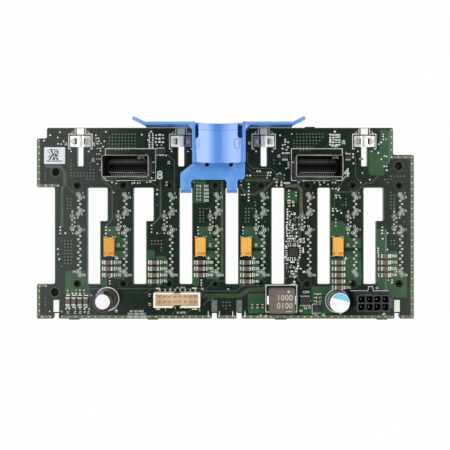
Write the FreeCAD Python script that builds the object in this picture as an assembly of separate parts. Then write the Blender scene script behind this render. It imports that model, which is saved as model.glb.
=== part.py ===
import FreeCAD, Part
import math
import os

# Backplane board for eight small disk drives.
# X runs across the drive columns, Y from the power edge to the handle edge, and Z from the
# drive side up to the cable side. The drive sockets hang under the board, and their mating
# faces stand at z = 0. Lengths are in millimetres.

# Drive columns
drive_count = 8
drive_pitch = 18.16
left_margin = 15.9
right_margin = 5.88

# Board
board_thickness = 2.0
upper_strip = 23.7
vent_length = 38.0
lower_strip = 13.7
outer_corner = 0.8
upper_left_step_width = 3.95
upper_left_step_depth = 4.2
left_recess_depth = 7.1
left_recess_rise = 0.2
right_step_width = 8.2
right_step_depth = 10.7
break_off_stub_height = 0.4
break_off_stub_root = 0.6

# Vents between the drive columns
vent_offset = 4.2
vent_width = 4.9
vent_corner = 0.3
wide_vent_width = 7.8
wide_vent_length = 13.1
wide_vents = (1, 2, 7)

# Slots, notches, holes and the spacers behind the mounting holes
clip_slot_width = 2.3
clip_slot_length = 11.9
clip_slot_setback = 3.3
clip_places = ((1, 1.3), (3, 4.78), (5, 1.06), (7, 4.44))
notch_width = 1.9
notch_depth = 2.2
notch_flare = 0.7
notch_places = ((1, -8.2), (4, -0.28), (5, -8.64), (8, -0.82))
mounting_hole_radius = 1.6
spacer_flange_radius = 2.7
spacer_flange_height = 1.0
spacer_post_radius = 1.9
spacer_height = 5.0
peg_clearance = 0.15

# Drive sockets
socket_height = 8.5
socket_width = 4.9
socket_foot_width = 5.8
socket_foot_height = 1.2
socket_bevel = 0.6
slot_end_room = 1.225
socket_slot_width = 1.9
socket_lead_in = 0.5
socket_key_length = 1.3
socket_key_reach = 1.1
guide_pocket_length = 3.0
guide_pocket_width = 2.6
guide_pocket_depth = 6.0
peg_radius = 1.35
peg_to_slot = 2.3
peg_to_end = 2.1
peg_setback = 0.1
side_relief_depth = 0.6
side_relief_margin = 1.5
contact_pitch = 1.27
fine_contact_pitch = 0.8
signal_contacts = 7
power_contacts = 15
signal_to_power = 6.35
contact_thickness = 0.28
contact_width = 0.6
fine_contact_width = 0.4
contact_stand_off = 0.04
contact_setback = 1.2

# Cable sockets
cable_socket_places = ((2, 2.24), (6, 3.6))
cable_socket_setback = 15.95
cable_shell_length = 17.9
cable_shell_width = 8.5
cable_shell_height = 11.0
cable_shell_wall = 0.35
cable_shell_corner = 0.8
cable_shell_foot_length = 2.4
cable_shell_foot_reach = 1.1
cable_latch_offset = 6.0
cable_latch_window_width = 3.0
cable_latch_window_depth = 2.6
cable_insert_length = 16.2
cable_insert_width = 3.8
cable_insert_height = 4.6
cable_insert_shoulder = 0.4
cable_shoulder_end_step = 0.6
cable_shoulder_side_step = 0.4
card_slot_length = 14.6
card_slot_width = 1.9
card_slot_depth = 4.0
cable_contacts_per_row = 18
cable_contact_pitch = 0.8
cable_contact_width = 0.4
cable_contact_thickness = 0.25
cable_contact_reach = 1.6

# Power socket
power_socket_place = (7, 6.1)
power_socket_rise = 7.1
power_columns = 4
power_rows = 2
power_pitch = 3.0
power_cell = 2.35
power_cell_chamfer = 0.7
power_socket_rim = 0.55
power_socket_height = 9.9
power_cell_floor = 2.2
power_pin_width = 0.64
power_pin_height = 8.0
power_latch_width = 1.9
power_latch_reach = 1.0
power_side_rib_width = 1.5

# Signal header
signal_header_place = (3, 3.4)
signal_header_rise = 7.9
header_columns = 8
header_pitch = 2.0
header_row_spacing = 2.0
header_length = 18.0
header_width = 5.8
header_height = 6.5
header_wall = 0.6
header_floor = 1.5
header_pin_width = 0.5
header_pin_height = 4.6
header_tail_reach = 1.0
header_notch_width = 3.1
header_notch_depth = 4.8

# Round capacitors
electrolytic_place = (2, -6.25)
electrolytic_rise = 7.8
electrolytic_radius = 4.0
electrolytic_height = 11.5
electrolytic_sleeve = 0.12
electrolytic_rim = 1.1
polymer_place = (7, -6.35)
polymer_rise = 7.05
polymer_radius = 3.9
polymer_height = 8.0
crimp_depth = 0.35
crimp_height = 0.5
crimp_level = 2.0
bung_height = 0.7

# Power inductor
inductor_place = (5, 8.05)
inductor_rise = 7.35
inductor_length = 10.3
inductor_depth = 10.0
inductor_height = 4.0
inductor_chamfer = 0.5
inductor_terminal_width = 3.3
inductor_terminal_thickness = 0.2

# Tantalum capacitors
tantalum_places = ((2, -5.3), (4, -5.75), (5, -5.95), (7, -6.15))
tantalum_rise = 14.8
tantalum_length = 7.3
tantalum_width = 4.3
tantalum_height = 2.8
tantalum_draft = 0.2
tantalum_terminal_width = 2.4
tantalum_terminal_thickness = 0.15

# Ceramic chip capacitors
chip_length = 3.2
chip_width = 1.6
chip_height = 1.25
chip_end = 0.5
chip_end_step = 0.04
chip_row_pitch = 2.5
chip_row_offset = -5.7
chip_row_rise = 8.55
chip_rows = {2: 3, 3: 4, 4: 3, 5: 4, 7: 5, 8: 3}
chip_bank_count = 4
chip_bank_pitch = 2.35
chip_bank_offset = -3.55
chip_bank_rise = 6.9
small_chip_length = 1.6
small_chip_width = 0.8
small_chip_height = 0.6
small_chip_end = 0.3

# Chips with leads
package_lead_thickness = 0.15
package_lead_reach = 0.55

# Grounding clips and pads
clip_length = 8.1
clip_depth = 4.4
clip_thickness = 0.3
clip_rib_width = 1.9
clip_rib_height = 0.75
clip_dome_radius = 1.3
clip_dome_height = 0.5
clip_slit_width = 0.45
clip_setback = 5.4
pad_thickness = 0.1
clip_pad_width = 2.9
clip_pad_depth = 2.5
edge_pad_width = 2.2
edge_pad_depth = 4.7
edge_pad_rise = 2.7

# Label
label_length = 8.3
label_width = 6.6
label_thickness = 0.1
label_inset = 7.0
label_drop = 11.0

# Pull handle
plate_thickness = 2.0
plate_lower_gap = 3.1
plate_upper_gap = 9.3
plate_right_reach = 3.0
leg_clearance = 0.35
leg_length = 2.0
hook_thickness = 1.2
hook_reach = 1.6
hook_clearance = 0.15
grip_clip_clearance = 0.75
grip_height = 10.4
grip_wall = 1.1
scoop_side_height = 9.6
scoop_depth = 3.4
scoop_thickness = 1.4
lip_depth = 2.4
lip_step = 0.8
lip_setback = 0.35
corner_pocket_widths = (1.25, 1.9)
corner_pocket_length = 6.1
back_wall_height = 6.5
back_wall_reach = 4.3
core_hole_radius = 0.8
core_hole_spacing = 9.4
arm_thickness = 1.05
arm_length = 18.4
arm_height = 9.5
arm_lift = 0.5
arm_gusset = 1.8
arm_relief_length = 4.6
arm_relief_depth = 0.4
arm_relief_height = 4.6
tip_length = 5.0
tip_height = 3.0
tip_angle = 27.0

# Values that follow from the sizes above
board_width = left_margin + drive_pitch * (drive_count - 1) + right_margin
board_depth = upper_strip + vent_length + lower_strip
left_edge = -board_width / 2
right_edge = board_width / 2
top_edge = board_depth / 2
bottom_edge = -board_depth / 2
vent_top = top_edge - upper_strip
vent_bottom = bottom_edge + lower_strip
board_under = socket_height
board_top = board_under + board_thickness
socket_middle = vent_bottom + vent_length / 2 + 0.48
contact_span = contact_pitch * (signal_contacts + power_contacts - 2) + signal_to_power
socket_slot_length = contact_span + 2 * slot_end_room
peg_spacing = socket_slot_length + 2 * peg_to_slot
socket_length = peg_spacing + 2 * peg_to_end
mounting_holes = (
    (left_edge + 7.4, top_edge - 17.5),
    (left_edge + 7.0, bottom_edge + 10.4),
    (right_edge - 6.0, top_edge - 15.1),
)
origin = FreeCAD.Vector(0, 0, 0)


def column_x(column):
    """X of a drive column, counted from 1 at the left."""
    return left_edge + left_margin + drive_pitch * (column - 1)


def beside_column(place):
    """X of a place given as a drive column and an offset from it."""
    column, offset = place
    return column_x(column) + offset


def box(x_from, x_to, y_from, y_to, z_from, z_to):
    """A block between two opposite corners."""
    corner = FreeCAD.Vector(x_from, y_from, z_from)
    return Part.makeBox(x_to - x_from, y_to - y_from, z_to - z_from, corner)


def block(x, y, length, depth, z_from, z_to):
    """A block centred on x and y."""
    return box(x - length / 2, x + length / 2, y - depth / 2, y + depth / 2, z_from, z_to)


def cylinder(x, y, radius, z_from, z_to):
    """An upright cylinder."""
    return Part.makeCylinder(radius, z_to - z_from, FreeCAD.Vector(x, y, z_from))


def rounded_face(points, radii):
    """A flat face at z = 0 with each corner rounded by its own radius."""
    edges = []
    starts = []
    ends = []
    count = len(points)
    for index, (x, y) in enumerate(points):
        corner = FreeCAD.Vector(x, y, 0)
        before = FreeCAD.Vector(*points[index - 1], 0) - corner
        after = FreeCAD.Vector(*points[(index + 1) % count], 0) - corner
        radius = radii[index]
        if radius == 0:
            starts.append(corner)
            ends.append(corner)
            continue
        before.normalize()
        after.normalize()
        half_angle = before.getAngle(after) / 2
        setback = radius / math.tan(half_angle)
        bisector = before + after
        bisector.normalize()
        nearest = corner + bisector * (radius / math.sin(half_angle) - radius)
        starts.append(corner + before * setback)
        ends.append(corner + after * setback)
        edges.append(Part.Arc(starts[-1], nearest, ends[-1]).toShape())
    for index in range(count):
        start = ends[index - 1]
        if start.distanceToPoint(starts[index]) > 1e-6:
            edges.append(Part.LineSegment(start, starts[index]).toShape())
    return Part.Face(Part.Wire(Part.sortEdges(edges)[0]))


def rounded_plate(points, radii, z_from, z_to):
    """An upright prism over a rounded outline."""
    face = rounded_face(points, radii)
    face.translate(FreeCAD.Vector(0, 0, z_from))
    return face.extrude(FreeCAD.Vector(0, 0, z_to - z_from))


def rounded_block(x, y, length, depth, radius, z_from, z_to):
    """A block centred on x and y with rounded upright edges."""
    points = rectangle(x, y, length, depth)
    return rounded_plate(points, [radius] * 4, z_from, z_to)


def bevelled_block(x, y, length, depth, bevel, z_from, z_to):
    """A block centred on x and y with bevelled upright edges."""
    left, right = x - length / 2, x + length / 2
    low, high = y - depth / 2, y + depth / 2
    points = [(left + bevel, low), (right - bevel, low), (right, low + bevel),
              (right, high - bevel), (right - bevel, high), (left + bevel, high),
              (left, high - bevel), (left, low + bevel)]
    return rounded_plate(points, [0] * 8, z_from, z_to)


def rectangle(x, y, length, depth):
    """Corners of a rectangle centred on x and y, counterclockwise."""
    left, right = x - length / 2, x + length / 2
    low, high = y - depth / 2, y + depth / 2
    return [(left, low), (right, low), (right, high), (left, high)]


def prism_along_y(points, y_from, y_to):
    """A prism whose section is given as x and z pairs."""
    corners = [FreeCAD.Vector(x, y_from, z) for x, z in points]
    face = Part.Face(Part.makePolygon(corners + corners[:1]))
    return face.extrude(FreeCAD.Vector(0, y_to - y_from, 0))


def prism_along_x(points, x_from, x_to):
    """A prism whose section is given as y and z pairs."""
    corners = [FreeCAD.Vector(x_from, y, z) for y, z in points]
    face = Part.Face(Part.makePolygon(corners + corners[:1]))
    return face.extrude(FreeCAD.Vector(x_to - x_from, 0, 0))


def turned(x, y, points):
    """A solid of revolution about an upright axis, from radius and z pairs."""
    corners = [FreeCAD.Vector(radius, 0, z) for radius, z in points]
    face = Part.Face(Part.makePolygon(corners + corners[:1]))
    solid = face.revolve(origin, FreeCAD.Vector(0, 0, 1), 360)
    solid.translate(FreeCAD.Vector(x, y, 0))
    return solid


def board_outline():
    """Corners and corner radii of the board, counterclockwise from the lower left."""
    points = [(left_edge, bottom_edge)]
    radii = [outer_corner]
    for place in notch_places:
        x = beside_column(place)
        left, right = x - notch_width / 2, x + notch_width / 2
        top = bottom_edge + notch_depth
        points += [(left, bottom_edge), (left, top), (right, top), (right, bottom_edge)]
        radii += [notch_flare, 0, 0, notch_flare]
    step_left = left_edge + upper_left_step_width
    step_right = right_edge - right_step_width
    recess_top = vent_top + left_recess_rise
    recess_left = left_edge + left_recess_depth
    points += [
        (right_edge, bottom_edge),
        (right_edge, top_edge - right_step_depth),
        (step_right, top_edge - right_step_depth),
        (step_right, top_edge),
        (step_left, top_edge),
        (step_left, top_edge - upper_left_step_depth),
        (left_edge, top_edge - upper_left_step_depth),
        (left_edge, recess_top),
        (recess_left, recess_top),
        (recess_left, vent_bottom),
        (left_edge, vent_bottom),
    ]
    radii += [outer_corner] * 11
    return points, radii


def vent(column):
    """Opening to the right of a drive column, wider at its upper end beside some of them."""
    left = column_x(column) + vent_offset
    middle = (vent_top + vent_bottom) / 2
    low, high = board_under, board_top
    opening = bevelled_block(left + vent_width / 2, middle, vent_width, vent_length,
                             vent_corner, low, high)
    if column in wide_vents:
        upper = bevelled_block(left + wide_vent_width / 2, vent_top - wide_vent_length / 2,
                               wide_vent_width, wide_vent_length, vent_corner, low, high)
        opening = opening.fuse(upper)
    return opening


def break_off_stubs():
    """Stubs along the edges where the board was parted from its panel."""
    places = ((1, -1.25, 4.0), (3, -6.4, 4.0), (5, 7.8, 4.6), (8, -6.7, 4.0))
    stubs = []
    for column, offset, length in places:
        x = column_x(column) + offset
        stubs.append(box(x - length / 2, x + length / 2, bottom_edge - break_off_stub_height,
                         bottom_edge + break_off_stub_root, board_under, board_top))
    x = column_x(6) + 1.15
    stubs.append(box(x - 1.95, x + 1.95, top_edge - break_off_stub_root,
                     top_edge + break_off_stub_height, board_under, board_top))
    return stubs


def circuit_board():
    """The board with its vents, clip slots, notches and holes."""
    points, radii = board_outline()
    board = rounded_plate(points, radii, board_under, board_top)
    board = board.fuse(break_off_stubs())
    cuts = [vent(column) for column in range(1, drive_count)]
    slot_middle = top_edge - clip_slot_setback - clip_slot_length / 2
    for place in clip_places:
        cuts.append(bevelled_block(beside_column(place), slot_middle, clip_slot_width,
                                   clip_slot_length, vent_corner, board_under, board_top))
    for x, y in mounting_holes:
        cuts.append(cylinder(x, y, mounting_hole_radius, board_under, board_top))
    for column in range(1, drive_count + 1):
        for y in (socket_middle - peg_spacing / 2, socket_middle + peg_spacing / 2):
            cuts.append(cylinder(column_x(column), y, peg_radius + peg_clearance,
                                 board_under, board_top))
    return board.cut(cuts).removeSplitter()


def drive_socket(column):
    """Moulded drive socket: keyed slot, guide pockets at both ends and two board pegs."""
    x = column_x(column)
    y = socket_middle
    foot_bottom = socket_height - socket_foot_height
    body = bevelled_block(x, y, socket_width, socket_length, socket_bevel, 0, foot_bottom)
    foot = bevelled_block(x, y, socket_foot_width, socket_length, socket_bevel, foot_bottom,
                          socket_height)
    solid = body.fuse(foot)
    cuts = [block(x, y, socket_slot_width, socket_slot_length, 0, socket_height)]
    half_mouth = socket_slot_width / 2 + socket_lead_in
    half_slot = socket_slot_width / 2
    mouth = [(x - half_mouth, 0), (x + half_mouth, 0), (x + half_slot, socket_lead_in),
             (x - half_slot, socket_lead_in)]
    cuts.append(prism_along_y(mouth, y - socket_slot_length / 2, y + socket_slot_length / 2))
    key_y = y - socket_slot_length / 2
    cuts.append(box(x, x + half_slot + socket_key_reach, key_y, key_y + socket_key_length,
                    0, foot_bottom - side_relief_margin))
    pocket_y = peg_spacing / 2
    for side in (-1, 1):
        cuts.append(block(x, y + side * pocket_y, guide_pocket_width, guide_pocket_length,
                          0, guide_pocket_depth))
        face = x + side * socket_width / 2
        relief_length = socket_slot_length / 2 - side_relief_margin
        for half in (-1, 1):
            relief_y = y + half * (relief_length + side_relief_margin) / 2
            cuts.append(block(face, relief_y, 2 * side_relief_depth, relief_length - 1,
                              side_relief_margin, foot_bottom - side_relief_margin))
    solid = solid.cut(cuts)
    pegs = []
    for side in (-1, 1):
        pegs.append(cylinder(x, y + side * pocket_y, peg_radius, socket_height - 0.5,
                             board_top - peg_setback))
    return solid.fuse(pegs).removeSplitter()


def drive_contacts(column):
    """Contact blades of one drive socket, standing in its slot up to the board."""
    x = column_x(column)
    far = socket_slot_width / 2 - contact_stand_off
    near = far - contact_thickness
    first = contact_span / 2
    power_first = first - contact_pitch * (signal_contacts - 1) - signal_to_power
    fine_middle = power_first + signal_to_power / 2
    blades = []
    for index in range(signal_contacts):
        y = socket_middle + first - contact_pitch * index
        blades.append(contact_blade(x + near, x + far, y, contact_width))
        fine = socket_middle + fine_middle
        fine += fine_contact_pitch * (index - (signal_contacts - 1) / 2)
        blades.append(contact_blade(x - far, x - near, fine, fine_contact_width))
    for index in range(power_contacts):
        y = socket_middle + power_first - contact_pitch * index
        blades.append(contact_blade(x + near, x + far, y, contact_width))
    return Part.makeCompound(blades)


def contact_blade(x_from, x_to, y, width):
    """One straight contact blade."""
    return box(x_from, x_to, y - width / 2, y + width / 2, contact_setback, board_under)


def cable_socket_shell(x, y):
    """Sheet-metal shell: a tube with feet, a latch window and a side spring."""
    low, high = board_top, board_top + cable_shell_height
    outer = rounded_block(x, y, cable_shell_length, cable_shell_width, cable_shell_corner,
                          low, high)
    inner_length = cable_shell_length - 2 * cable_shell_wall
    inner_width = cable_shell_width - 2 * cable_shell_wall
    inner = rounded_block(x, y, inner_length, inner_width,
                          cable_shell_corner - cable_shell_wall, low, high)
    shell = outer.cut(inner)
    latch_x = x + cable_latch_offset
    back = y + cable_shell_width / 2
    window = box(latch_x - cable_latch_window_width / 2, latch_x + cable_latch_window_width / 2,
                 back - 1, back + 1, high - cable_latch_window_depth, high)
    shell = shell.cut(window)
    strap = cable_shell_wall
    tongue_half = cable_latch_window_width / 2 - 0.2
    tongue = [(back, high - cable_latch_window_depth), (back, high - 0.8),
              (back - 1.5, high - 0.3), (back - 1.5, high - 0.3 - strap),
              (back - strap, high - 0.8 - strap), (back - strap, high - cable_latch_window_depth)]
    parts = [prism_along_x(tongue, latch_x - tongue_half, latch_x + tongue_half)]
    for side in (-1, 1):
        foot_y = y + side * (cable_shell_width / 2 + cable_shell_foot_reach / 2 - strap / 2)
        for end in (-1, 1):
            foot_x = x + end * (cable_shell_length / 2 - cable_shell_foot_length)
            parts.append(block(foot_x, foot_y, cable_shell_foot_length,
                               cable_shell_foot_reach + strap, low, low + strap))
    side_x = x + cable_shell_length / 2
    spring = [(side_x - strap, low + 1.5), (side_x, low + 1.5), (side_x + 0.8, low + 4),
              (side_x + 0.8, low + 7), (side_x, low + 9), (side_x - strap, low + 9)]
    parts.append(prism_along_y(spring, y - 2.2, y + 2.2))
    return shell.fuse(parts).removeSplitter()


def cable_socket_insert(x, y):
    """Moulded insert: a base on the board and a bar that holds the card slot."""
    low = board_top
    top = low + cable_insert_height
    bar = block(x, y, cable_insert_length, cable_insert_width, low, top)
    shoulder = block(x, y, cable_insert_length - 2 * cable_shoulder_end_step,
                     cable_insert_width - 2 * cable_shoulder_side_step, low,
                     top + cable_insert_shoulder)
    card_slot = block(x, y, card_slot_length, card_slot_width, top - card_slot_depth,
                      top + cable_insert_shoulder)
    return bar.fuse(shoulder).cut(card_slot)


def cable_contact_places(x):
    """X of the contacts in one row of a cable socket."""
    first = x - cable_contact_pitch * (cable_contacts_per_row - 1) / 2
    return [first + cable_contact_pitch * index for index in range(cable_contacts_per_row)]


def cable_socket_contacts(x, y):
    """Contacts along the insert's sides, each with a foot on the board."""
    low = board_top
    top = low + cable_insert_height
    thickness = cable_contact_thickness
    contacts = []
    for side in (-1, 1):
        face = y + side * cable_insert_width / 2
        outer = face + side * thickness
        section = [(face, low), (face, top), (outer, top), (outer, low + thickness),
                   (face + side * cable_contact_reach, low + thickness),
                   (face + side * cable_contact_reach, low)]
        for contact_x in cable_contact_places(x):
            contacts.append(prism_along_x(section, contact_x - cable_contact_width / 2,
                                          contact_x + cable_contact_width / 2))
    return Part.makeCompound(contacts)


def power_cell_places():
    """X and Y of the power socket's cells, and which lower corner each has cut off."""
    x = beside_column(power_socket_place)
    y = bottom_edge + power_socket_rise
    cut_corners = ((0, -1, 1, -1), (1, -1, 1, -1))
    places = []
    for row in range(power_rows):
        cell_y = y + power_pitch * ((power_rows - 1) / 2 - row)
        for index in range(power_columns):
            cell_x = x + power_pitch * (index - (power_columns - 1) / 2)
            places.append((cell_x, cell_y, cut_corners[row][index]))
    return places


def power_socket():
    """Moulded power socket with keyed cells, a latch ramp and side ribs."""
    x = beside_column(power_socket_place)
    y = bottom_edge + power_socket_rise
    low, high = board_top, board_top + power_socket_height
    length = power_pitch * (power_columns - 1) + power_cell + 2 * power_socket_rim
    depth = power_pitch * (power_rows - 1) + power_cell + 2 * power_socket_rim
    body = bevelled_block(x, y, length, depth, 0.3, low, high)
    back = y + depth / 2
    ramp = [(back - 0.2, low + 4), (back, low + 4), (back + power_latch_reach, high - 3.4),
            (back + power_latch_reach, high - 2.6), (back, high - 1.8), (back - 0.2, high - 1.8)]
    right = x + length / 2
    left = x - length / 2
    added = [
        prism_along_x(ramp, x + 0.9 - power_latch_width / 2, x + 0.9 + power_latch_width / 2),
        box(left, right, back - 0.2, back + 0.5, low, low + 3),
        box(right - 0.2, right + power_side_rib_width, y - 2.0, y + 2.0, low, high - 1.0),
        box(left - 0.5, left + 0.2, y + 1.0, y + 2.6, low, high - 0.8),
        box(left - 0.5, left + 0.2, y - 2.6, y - 1.0, low, high - 0.8),
    ]
    body = body.fuse(added)
    cuts = []
    for cell_x, cell_y, cut_corner in power_cell_places():
        cuts.append(power_cell_shaft(cell_x, cell_y, cut_corner, low + power_cell_floor, high))
        cuts.append(block(cell_x, cell_y, power_pin_width, power_pin_width, low,
                          low + power_cell_floor))
    return body.cut(cuts).removeSplitter()


def power_cell_shaft(x, y, cut_corner, z_from, z_to):
    """Hollow of one cell, with its lower left (-1) or lower right (1) corner cut off."""
    half = power_cell / 2
    cut = half - power_cell_chamfer
    if cut_corner == 0:
        return block(x, y, power_cell, power_cell, z_from, z_to)
    side = cut_corner
    corners = [(x - side * half, y - half), (x + side * cut, y - half),
               (x + side * half, y - cut), (x + side * half, y + half),
               (x - side * half, y + half)]
    return rounded_plate(corners, [0] * 5, z_from, z_to)


def power_socket_pins():
    """Square pins that stand in the power socket's cells."""
    pins = []
    for x, y, _ in power_cell_places():
        pins.append(block(x, y, power_pin_width, power_pin_width, board_top,
                          board_top + power_pin_height))
    return Part.makeCompound(pins)


def header_pin_places():
    """X, Y and side of the signal header's pins."""
    x = beside_column(signal_header_place)
    y = bottom_edge + signal_header_rise
    places = []
    for side in (-1, 1):
        for index in range(header_columns):
            pin_x = x + header_pitch * (index - (header_columns - 1) / 2)
            places.append((pin_x, y + side * header_row_spacing / 2, side))
    return places


def signal_header():
    """Open shroud round the header's pins, with a notch in each long wall."""
    x = beside_column(signal_header_place)
    y = bottom_edge + signal_header_rise
    low, high = board_top + header_pin_width, board_top + header_height
    body = bevelled_block(x, y, header_length, header_width, 0.2, low, high)
    cuts = [block(x, y, header_length - 2 * header_wall, header_width - 2 * header_wall,
                  board_top + header_floor, high),
            block(x, y, header_notch_width, header_width + 1, high - header_notch_depth, high)]
    for pin_x, pin_y, _ in header_pin_places():
        cuts.append(block(pin_x, pin_y, header_pin_width, header_pin_width, low,
                          board_top + header_floor))
    body = body.cut(cuts)
    posts = []
    for end in (-1, 1):
        post_x = x + end * (header_length / 2 - 0.8)
        posts.append(block(post_x, y, 1.0, 1.6, board_top, low + 0.1))
    return body.fuse(posts).removeSplitter()


def signal_header_pins():
    """Bent pins: each stands in the shroud and ends in a tail on the board."""
    pins = []
    width = header_pin_width
    y_middle = bottom_edge + signal_header_rise
    for x, y, side in header_pin_places():
        inner = y - side * width / 2
        outer = y + side * width / 2
        tail = y_middle + side * (header_width / 2 + header_tail_reach)
        section = [(inner, board_top), (inner, board_top + header_pin_height),
                   (outer, board_top + header_pin_height), (outer, board_top + width),
                   (tail, board_top + width), (tail, board_top)]
        pins.append(prism_along_x(section, x - width / 2, x + width / 2))
    return Part.makeCompound(pins)


def can_section(radius, height):
    """Half section of a drawn can: crimped near its foot, rounded at its top."""
    low = board_top + bung_height
    high = board_top + height
    level = board_top + crimp_level
    return [(0, low), (radius, low), (radius, level - crimp_height),
            (radius - crimp_depth, level), (radius, level + crimp_height),
            (radius, high - 0.4), (radius - 0.4, high), (0, high)]


def electrolytic_middle():
    """X and Y of the electrolytic capacitor."""
    return beside_column(electrolytic_place), bottom_edge + electrolytic_rise


def electrolytic_can():
    """Aluminium can of the electrolytic capacitor."""
    x, y = electrolytic_middle()
    radius = electrolytic_radius - electrolytic_sleeve
    return turned(x, y, can_section(radius, electrolytic_height - electrolytic_sleeve))


def electrolytic_sleeve_skin():
    """Shrunk sleeve: follows the can's side and folds over its top rim."""
    x, y = electrolytic_middle()
    radius = electrolytic_radius - electrolytic_sleeve
    inside = can_section(radius, electrolytic_height - electrolytic_sleeve)[1:-1]
    outside = [(point_radius + electrolytic_sleeve, z) for point_radius, z in inside[:-1]]
    top = board_top + electrolytic_height
    rim_radius = radius - electrolytic_rim
    rim = [(inside[-1][0], top), (rim_radius, top), (rim_radius, top - electrolytic_sleeve)]
    return turned(x, y, inside[::-1] + outside + rim)


def electrolytic_bung():
    """Rubber bung under the electrolytic capacitor."""
    x, y = electrolytic_middle()
    return cylinder(x, y, electrolytic_radius - 0.6, board_top, board_top + bung_height)


def polymer_can():
    """Bare aluminium can of the polymer capacitor."""
    x, y = beside_column(polymer_place), bottom_edge + polymer_rise
    return turned(x, y, can_section(polymer_radius, polymer_height))


def polymer_bung():
    """Rubber bung under the polymer capacitor."""
    x, y = beside_column(polymer_place), bottom_edge + polymer_rise
    return cylinder(x, y, polymer_radius - 0.5, board_top, board_top + bung_height)


def inductor_core():
    """Pressed inductor block with bevelled edges and recesses for its terminals."""
    x, y = beside_column(inductor_place), bottom_edge + inductor_rise
    low, high = board_top + inductor_terminal_thickness, board_top + inductor_height
    core = block(x, y, inductor_length, inductor_depth, low, high)
    bevelled = [edge for edge in core.Edges if edge.BoundBox.ZMax > high - 1e-6]
    core = core.makeChamfer(inductor_chamfer, bevelled)
    recesses = []
    for side in (-1, 1):
        recesses.append(block(x + side * inductor_length / 2, y,
                              2 * inductor_terminal_thickness, inductor_terminal_width,
                              low, low + inductor_height * 0.6))
    return core.cut(recesses)


def inductor_terminals():
    """Bent terminals that wrap under the inductor's two ends."""
    x, y = beside_column(inductor_place), bottom_edge + inductor_rise
    low = board_top
    thickness = inductor_terminal_thickness
    terminals = []
    for side in (-1, 1):
        end = x + side * inductor_length / 2
        section = [(end - side * 2.2, low), (end + side * 0.5, low),
                   (end + side * 0.5, low + thickness), (end, low + thickness * 2),
                   (end, low + thickness + inductor_height * 0.6),
                   (end - side * thickness, low + thickness + inductor_height * 0.6),
                   (end - side * thickness, low + thickness),
                   (end - side * 2.2, low + thickness)]
        terminals.append(prism_along_y(section, y - inductor_terminal_width / 2,
                                       y + inductor_terminal_width / 2))
    return Part.makeCompound(terminals)


def tantalum_middle(number):
    """X and Y of a tantalum capacitor, counted from 1 at the left."""
    return beside_column(tantalum_places[number - 1]), vent_bottom + tantalum_rise


def tantalum_capacitor(number):
    """Moulded block with drafted sides that meet at a parting line."""
    x, y = tantalum_middle(number)
    low = board_top + tantalum_terminal_thickness
    high = board_top + tantalum_height
    split = (low + high) / 2
    half = tantalum_width / 2
    narrow = half - tantalum_draft
    section = [(x - narrow, low), (x + narrow, low), (x + half, split), (x + narrow, high),
               (x - narrow, high), (x - half, split)]
    ends = tantalum_terminal_thickness
    return prism_along_y(section, y - tantalum_length / 2 + ends, y + tantalum_length / 2 - ends)


def tantalum_terminals():
    """Bent terminals at both ends of every tantalum capacitor."""
    thickness = tantalum_terminal_thickness
    terminals = []
    for number in range(1, len(tantalum_places) + 1):
        x, y = tantalum_middle(number)
        for side in (-1, 1):
            end = y + side * tantalum_length / 2
            inner = end - side * thickness
            foot = end - side * 1.3
            section = [(foot, board_top), (end, board_top), (end, board_top + 1.5),
                       (inner, board_top + 1.5), (inner, board_top + thickness),
                       (foot, board_top + thickness)]
            terminals.append(prism_along_x(section, x - tantalum_terminal_width / 2,
                                           x + tantalum_terminal_width / 2))
    return Part.makeCompound(terminals)


def large_chip_places():
    """X, Y and direction of the large ceramic chips: rows by the vents and one bank."""
    places = []
    for column, count in chip_rows.items():
        for index in range(count):
            y = vent_bottom + chip_row_rise - chip_row_pitch * index
            places.append((column_x(column) + chip_row_offset, y, True))
    extra_y = vent_bottom + chip_row_rise + chip_row_pitch
    places.append((column_x(8) + chip_row_offset, extra_y, True))
    for index in range(chip_bank_count):
        x = column_x(1) + chip_bank_offset + chip_bank_pitch * index
        places.append((x, bottom_edge + chip_bank_rise, False))
    return places


def small_chip_places():
    """X, Y and direction of the small chips."""
    places = []
    for index in range(5):
        places.append((column_x(4) - 6.5, vent_top + 0.7 - 1.35 * index, True))
    for index in range(3):
        places.append((column_x(5) - 3.5 + 2.05 * index, bottom_edge + 5.0, False))
    for index in range(2):
        x = column_x(6) + 4.35
        places.append((x, bottom_edge + 8.4 - 1.6 * index, True))
    places.append((column_x(3) - 0.96, vent_top + 1.6, False))
    places.append((column_x(7) + 3.26, vent_top + 11.3, True))
    places.append((column_x(6) - 7.0, vent_top - 6.5, False))
    places.append((column_x(6) - 5.4, vent_top - 6.4, False))
    places.append((column_x(6) - 3.65, vent_bottom + 8.9, False))
    places.append((column_x(6) - 5.95, vent_bottom + 6.6, True))
    places.append((column_x(6) - 1.8, vent_bottom + 16.85, True))
    return places


def chip_body(place, length, width, height, end):
    """Ceramic body of a chip between its two metal ends."""
    x, y, along_x = place
    inner = length - 2 * end
    size = (inner, width - 2 * chip_end_step) if along_x else (width - 2 * chip_end_step, inner)
    return block(x, y, *size, board_top + chip_end_step, board_top + height - chip_end_step)


def chip_ends(place, length, width, height, end):
    """The two metal ends of a chip."""
    x, y, along_x = place
    shift = (length - end) / 2
    solids = []
    for side in (-1, 1):
        if along_x:
            solids.append(block(x + side * shift, y, end, width, board_top, board_top + height))
        else:
            solids.append(block(x, y + side * shift, width, end, board_top, board_top + height))
    return solids


def large_chip_bodies():
    """Bodies of all the large ceramic chips."""
    bodies = []
    for place in large_chip_places():
        bodies.append(chip_body(place, chip_length, chip_width, chip_height, chip_end))
    return Part.makeCompound(bodies)


def large_chip_ends():
    """Metal ends of all the large ceramic chips."""
    ends = []
    for place in large_chip_places():
        ends += chip_ends(place, chip_length, chip_width, chip_height, chip_end)
    return Part.makeCompound(ends)


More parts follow.
